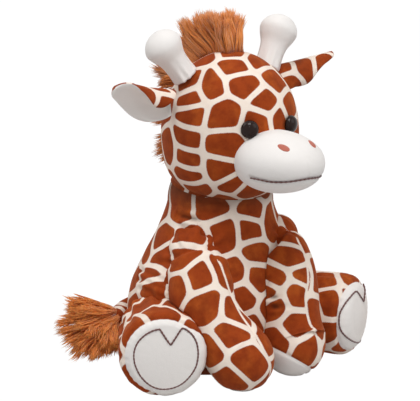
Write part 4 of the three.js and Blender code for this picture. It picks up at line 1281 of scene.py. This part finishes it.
class GIRAFFE_OT_crown_fur(bpy.types.Operator):
    """Sets the forelock's fan of long fur on the crown, and the mane down the back of the head."""

    bl_idname = "giraffe.crown_fur"
    bl_label = "Forelock and mane"

    def execute(self, context):
        sizes = context.scene.giraffe_sizes
        rng = np.random.default_rng(11)
        count = sizes.forelock_strands
        along, wide = rng.random(count), rng.uniform(-1, 1, count)
        roots = np.stack([wide * 7, -23 + along * 48, 0 * along], axis=-1)
        roots[:, 2] = head_top(roots[:, 0], roots[:, 1]) - 1.5
        fan = np.radians(4 + 84 * along + rng.normal(scale=4, size=count))
        lean = wide * 0.2 - 0.06 + rng.normal(scale=0.06, size=count)
        ways = unit(np.stack([lean, np.sin(fan), np.cos(fan)], axis=-1))
        lengths = np.interp(along, *FORELOCK_LENGTHS) * rng.uniform(0.9, 1.02, count)
        piece = locks("forelock_fur", sizes, rng, roots, ways, lengths, (60, 0.8), (0.7, 1.2), droop=0.04)
        dress(piece, "head", ["forelock"])
        along, wide = rng.random(MANE_STRANDS), rng.uniform(-1, 1, MANE_STRANDS)
        height = 142 + along * 60
        wide_at, deep, lean = head_level((height - HEAD_FOOT[2]) / HEAD_HEIGHT)
        x = wide * 6
        y = HEAD_FOOT[1] + lean + deep * np.sqrt(np.clip(1 - (x / wide_at) ** 2, 0, 1)) - 1.2
        ways = np.stack([wide * 1.3, np.full(MANE_STRANDS, 0.75), -0.1 + 0.5 * along], axis=-1)
        ways = unit(ways + rng.normal(scale=0.12, size=ways.shape))
        roots, lengths = np.stack([x, y, height], axis=-1), rng.uniform(20, 28, MANE_STRANDS)
        piece = locks("mane_fur", sizes, rng, roots, ways, lengths, (90, 0.4), (0.7, 1.2), droop=0.25)
        dress(piece, "head", ["mane"])
        return {"FINISHED"}


def head_top(x, y):
    """Height of the head's upper surface over a place, found by halving."""
    low, high = np.full(np.shape(x), 0.5), np.ones(np.shape(x))
    for _ in range(30):
        share = (low + high) / 2
        wide, deep, lean = head_level(share)
        reach = np.hypot(x / np.maximum(wide, 1e-3), (y - HEAD_FOOT[1] - lean) / np.maximum(deep, 1e-3))
        low, high = np.where(reach < 1, share, low), np.where(reach < 1, high, share)
    return HEAD_FOOT[2] + HEAD_HEIGHT * low


class GIRAFFE_OT_tail(bpy.types.Operator):
    """Sews the tail's stuffed stem and sets its tuft of fur, fanned out on the floor."""

    bl_idname = "giraffe.tail"
    bl_label = "Tail and tuft"

    def execute(self, context):
        sizes = context.scene.giraffe_sizes
        spine, share, length = even(catmull(TAIL_SPINE, 80), 70)
        points = tube_points(spine, 6.3 * capped(share, length, 3, 6), 40)
        points = raised(points, lumps(points, size=8, height=0.3, seed=1))
        patch = printed(points, [], sizes, seed=9, spacing=0.8)
        printed_piece("tail_cloth", points, "tail", ["tail_stem"], patch)
        rng = np.random.default_rng(23)
        axis = unit(np.array([-46, -6.5, -1]))
        level = level_of(axis)
        ring = around(rng.uniform(0, 2 * np.pi, TAIL_STRANDS), level, np.cross(level, axis))
        wide, start = rng.random(TAIL_STRANDS) ** 0.6, rng.random(TAIL_STRANDS)
        roots = np.array([-50.0, 51, 24.5]) + axis * (start * 14)[:, None]
        roots = roots + ring * ((4 + 5 * start) * np.sqrt(rng.random(TAIL_STRANDS)))[:, None]
        ways = axis + ring * (wide * 0.62)[:, None] + [0, 0, 0.1] + rng.normal(scale=0.05, size=ring.shape)
        towards = unit(np.array([0.15, -0.75, -0.6]))
        ways = unit(ways + towards * (0.75 * wide * np.clip(ring @ towards, 0, 1))[:, None])
        lengths = rng.uniform(32, 40, TAIL_STRANDS) * (1 - 0.12 * wide)
        clumps, widths = (60, 0.5), (0.8, 1.3)
        # The tuft is painted lighter (shade 0.5): painted light on fur that lies in the body's shadow.
        piece = locks("tail_fur", sizes, rng, roots, ways, lengths, clumps, widths, 0.08, ring * 4, shade=0.5)
        dress(piece, "tail", ["tail_tuft"])
        return {"FINISHED"}


class GIRAFFE_OT_inside(bpy.types.Operator):
    """Fills the neck with its padded ball of fibre, inside the torso and the head."""

    bl_idname = "giraffe.inside"
    bl_label = "Neck filling"

    def execute(self, context):
        points = NECK + 28 * np.stack(ball(40, 60), axis=-1)
        points = raised(points, lumps(points, size=7, height=0.4, seed=2))
        dress(closed_mesh("neck_fibre", points, "fibre_filling"), "neck", ["neck_stuffing"])
        return {"FINISHED"}


class GIRAFFE_OT_stage(bpy.types.Operator):
    """Lays the pale floor, hangs the soft lamps and sets the camera at the photograph's angle."""

    bl_idname = "giraffe.stage"
    bl_label = "Stage, lamps and camera"

    def execute(self, context):
        scene = context.scene
        mesh = bpy.data.meshes.new("floor")
        rim = np.pad(around(circle(96), np.array([6, 0]), np.array([0, 6])), ((0, 0), (0, 1)))
        mesh.from_pydata(rim.tolist(), [], [tuple(range(96))])
        ground = bpy.data.objects.new("floor", mesh)
        scene.collection.objects.link(ground)
        cover = Material("floor")
        cover.feed(cover.surface, {"Base Color": (0.58, 0.58, 0.58), "Roughness": 1})
        glow = cover.add("ShaderNodeEmission", {"Color": (1, 1, 1), "Strength": 1.05})
        seen = cover.times(cover.rays("Camera", "Glossy"), 0.96)
        blend = cover.add("ShaderNodeMixShader", {0: seen, 1: cover.surface.outputs[0], 2: glow.outputs[0]})
        cover.feed(cover.tree.nodes["Material Output"], {"Surface": blend.outputs[0]})
        mesh.materials.append(cover.made)

        scene.world = bpy.data.worlds.new("studio")
        scene.world.use_nodes = True
        sky = Nodes(scene.world.node_tree)
        seen = sky.rays("Camera", "Glossy", "Transmission")
        shown = sky.mixed(seen, (0.33, 0.33, 0.335), (1.0, 1.0, 1.0))
        sky.feed(sky.tree.nodes["Background"], {"Color": shown, "Strength": 1})

        for name, (place, energy, size) in LAMPS.items():
            light = bpy.data.lights.new(name, "AREA")
            light.energy, light.size = energy, size
            aimed(name, light, place)
        camera = bpy.data.cameras.new("camera")
        camera.lens, camera.sensor_width = 147.1, 36
        camera.clip_start, camera.clip_end = 0.05, 30
        camera.shift_x, camera.shift_y = -6 / 420, -11 / 420
        scene.camera = aimed("camera", camera, (-0.672, -0.960, 0.380))
        scene.view_settings.view_transform = "Standard"
        return {"FINISHED"}


def aimed(name, data, place):
    """A lamp or a camera at a place, turned to the toy's middle."""
    made = bpy.data.objects.new(name, data)
    made.location = place
    made.rotation_euler = (Vector((0, 0, 0.12)) - Vector(place)).to_track_quat("-Z", "Y").to_euler()
    bpy.context.scene.collection.objects.link(made)
    return made


PIECES = (
    GIRAFFE_OT_stage,
    GIRAFFE_OT_torso,
    GIRAFFE_OT_inside,
    GIRAFFE_OT_head,
    GIRAFFE_OT_muzzle,
    GIRAFFE_OT_eyes,
    GIRAFFE_OT_ossicones,
    GIRAFFE_OT_ears,
    GIRAFFE_OT_arms,
    GIRAFFE_OT_legs,
    GIRAFFE_OT_tail,
    GIRAFFE_OT_crown_fur,
)


class GIRAFFE_PT_panel(bpy.types.Panel):
    """Lists the giraffe's pieces and settings in the sidebar."""

    bl_idname = "GIRAFFE_PT_panel"
    bl_label = "Plush giraffe"
    bl_space_type = "VIEW_3D"
    bl_region_type = "UI"
    bl_category = "Giraffe"

    def draw(self, context):
        for made in PIECES:
            self.layout.operator(made.bl_idname)
        for group in (context.scene.giraffe_sizes, context.scene.giraffe_colours):
            for name in group.bl_rna.properties.keys():
                if name not in {"rna_type", "name"}:
                    self.layout.prop(group, name)


CLASSES = (GiraffeSizes, GiraffeColours, *PIECES, GIRAFFE_PT_panel)


def register():
    for item in CLASSES:
        bpy.utils.register_class(item)
    bpy.types.Scene.giraffe_sizes = bpy.props.PointerProperty(type=GiraffeSizes)
    bpy.types.Scene.giraffe_colours = bpy.props.PointerProperty(type=GiraffeColours)


def unregister():
    del bpy.types.Scene.giraffe_colours
    del bpy.types.Scene.giraffe_sizes
    for item in reversed(CLASSES):
        bpy.utils.unregister_class(item)


def main():
    register()
    for made in PIECES:
        group, name = made.bl_idname.split(".")
        getattr(getattr(bpy.ops, group), name)()


if __name__ == "__main__":
    main()
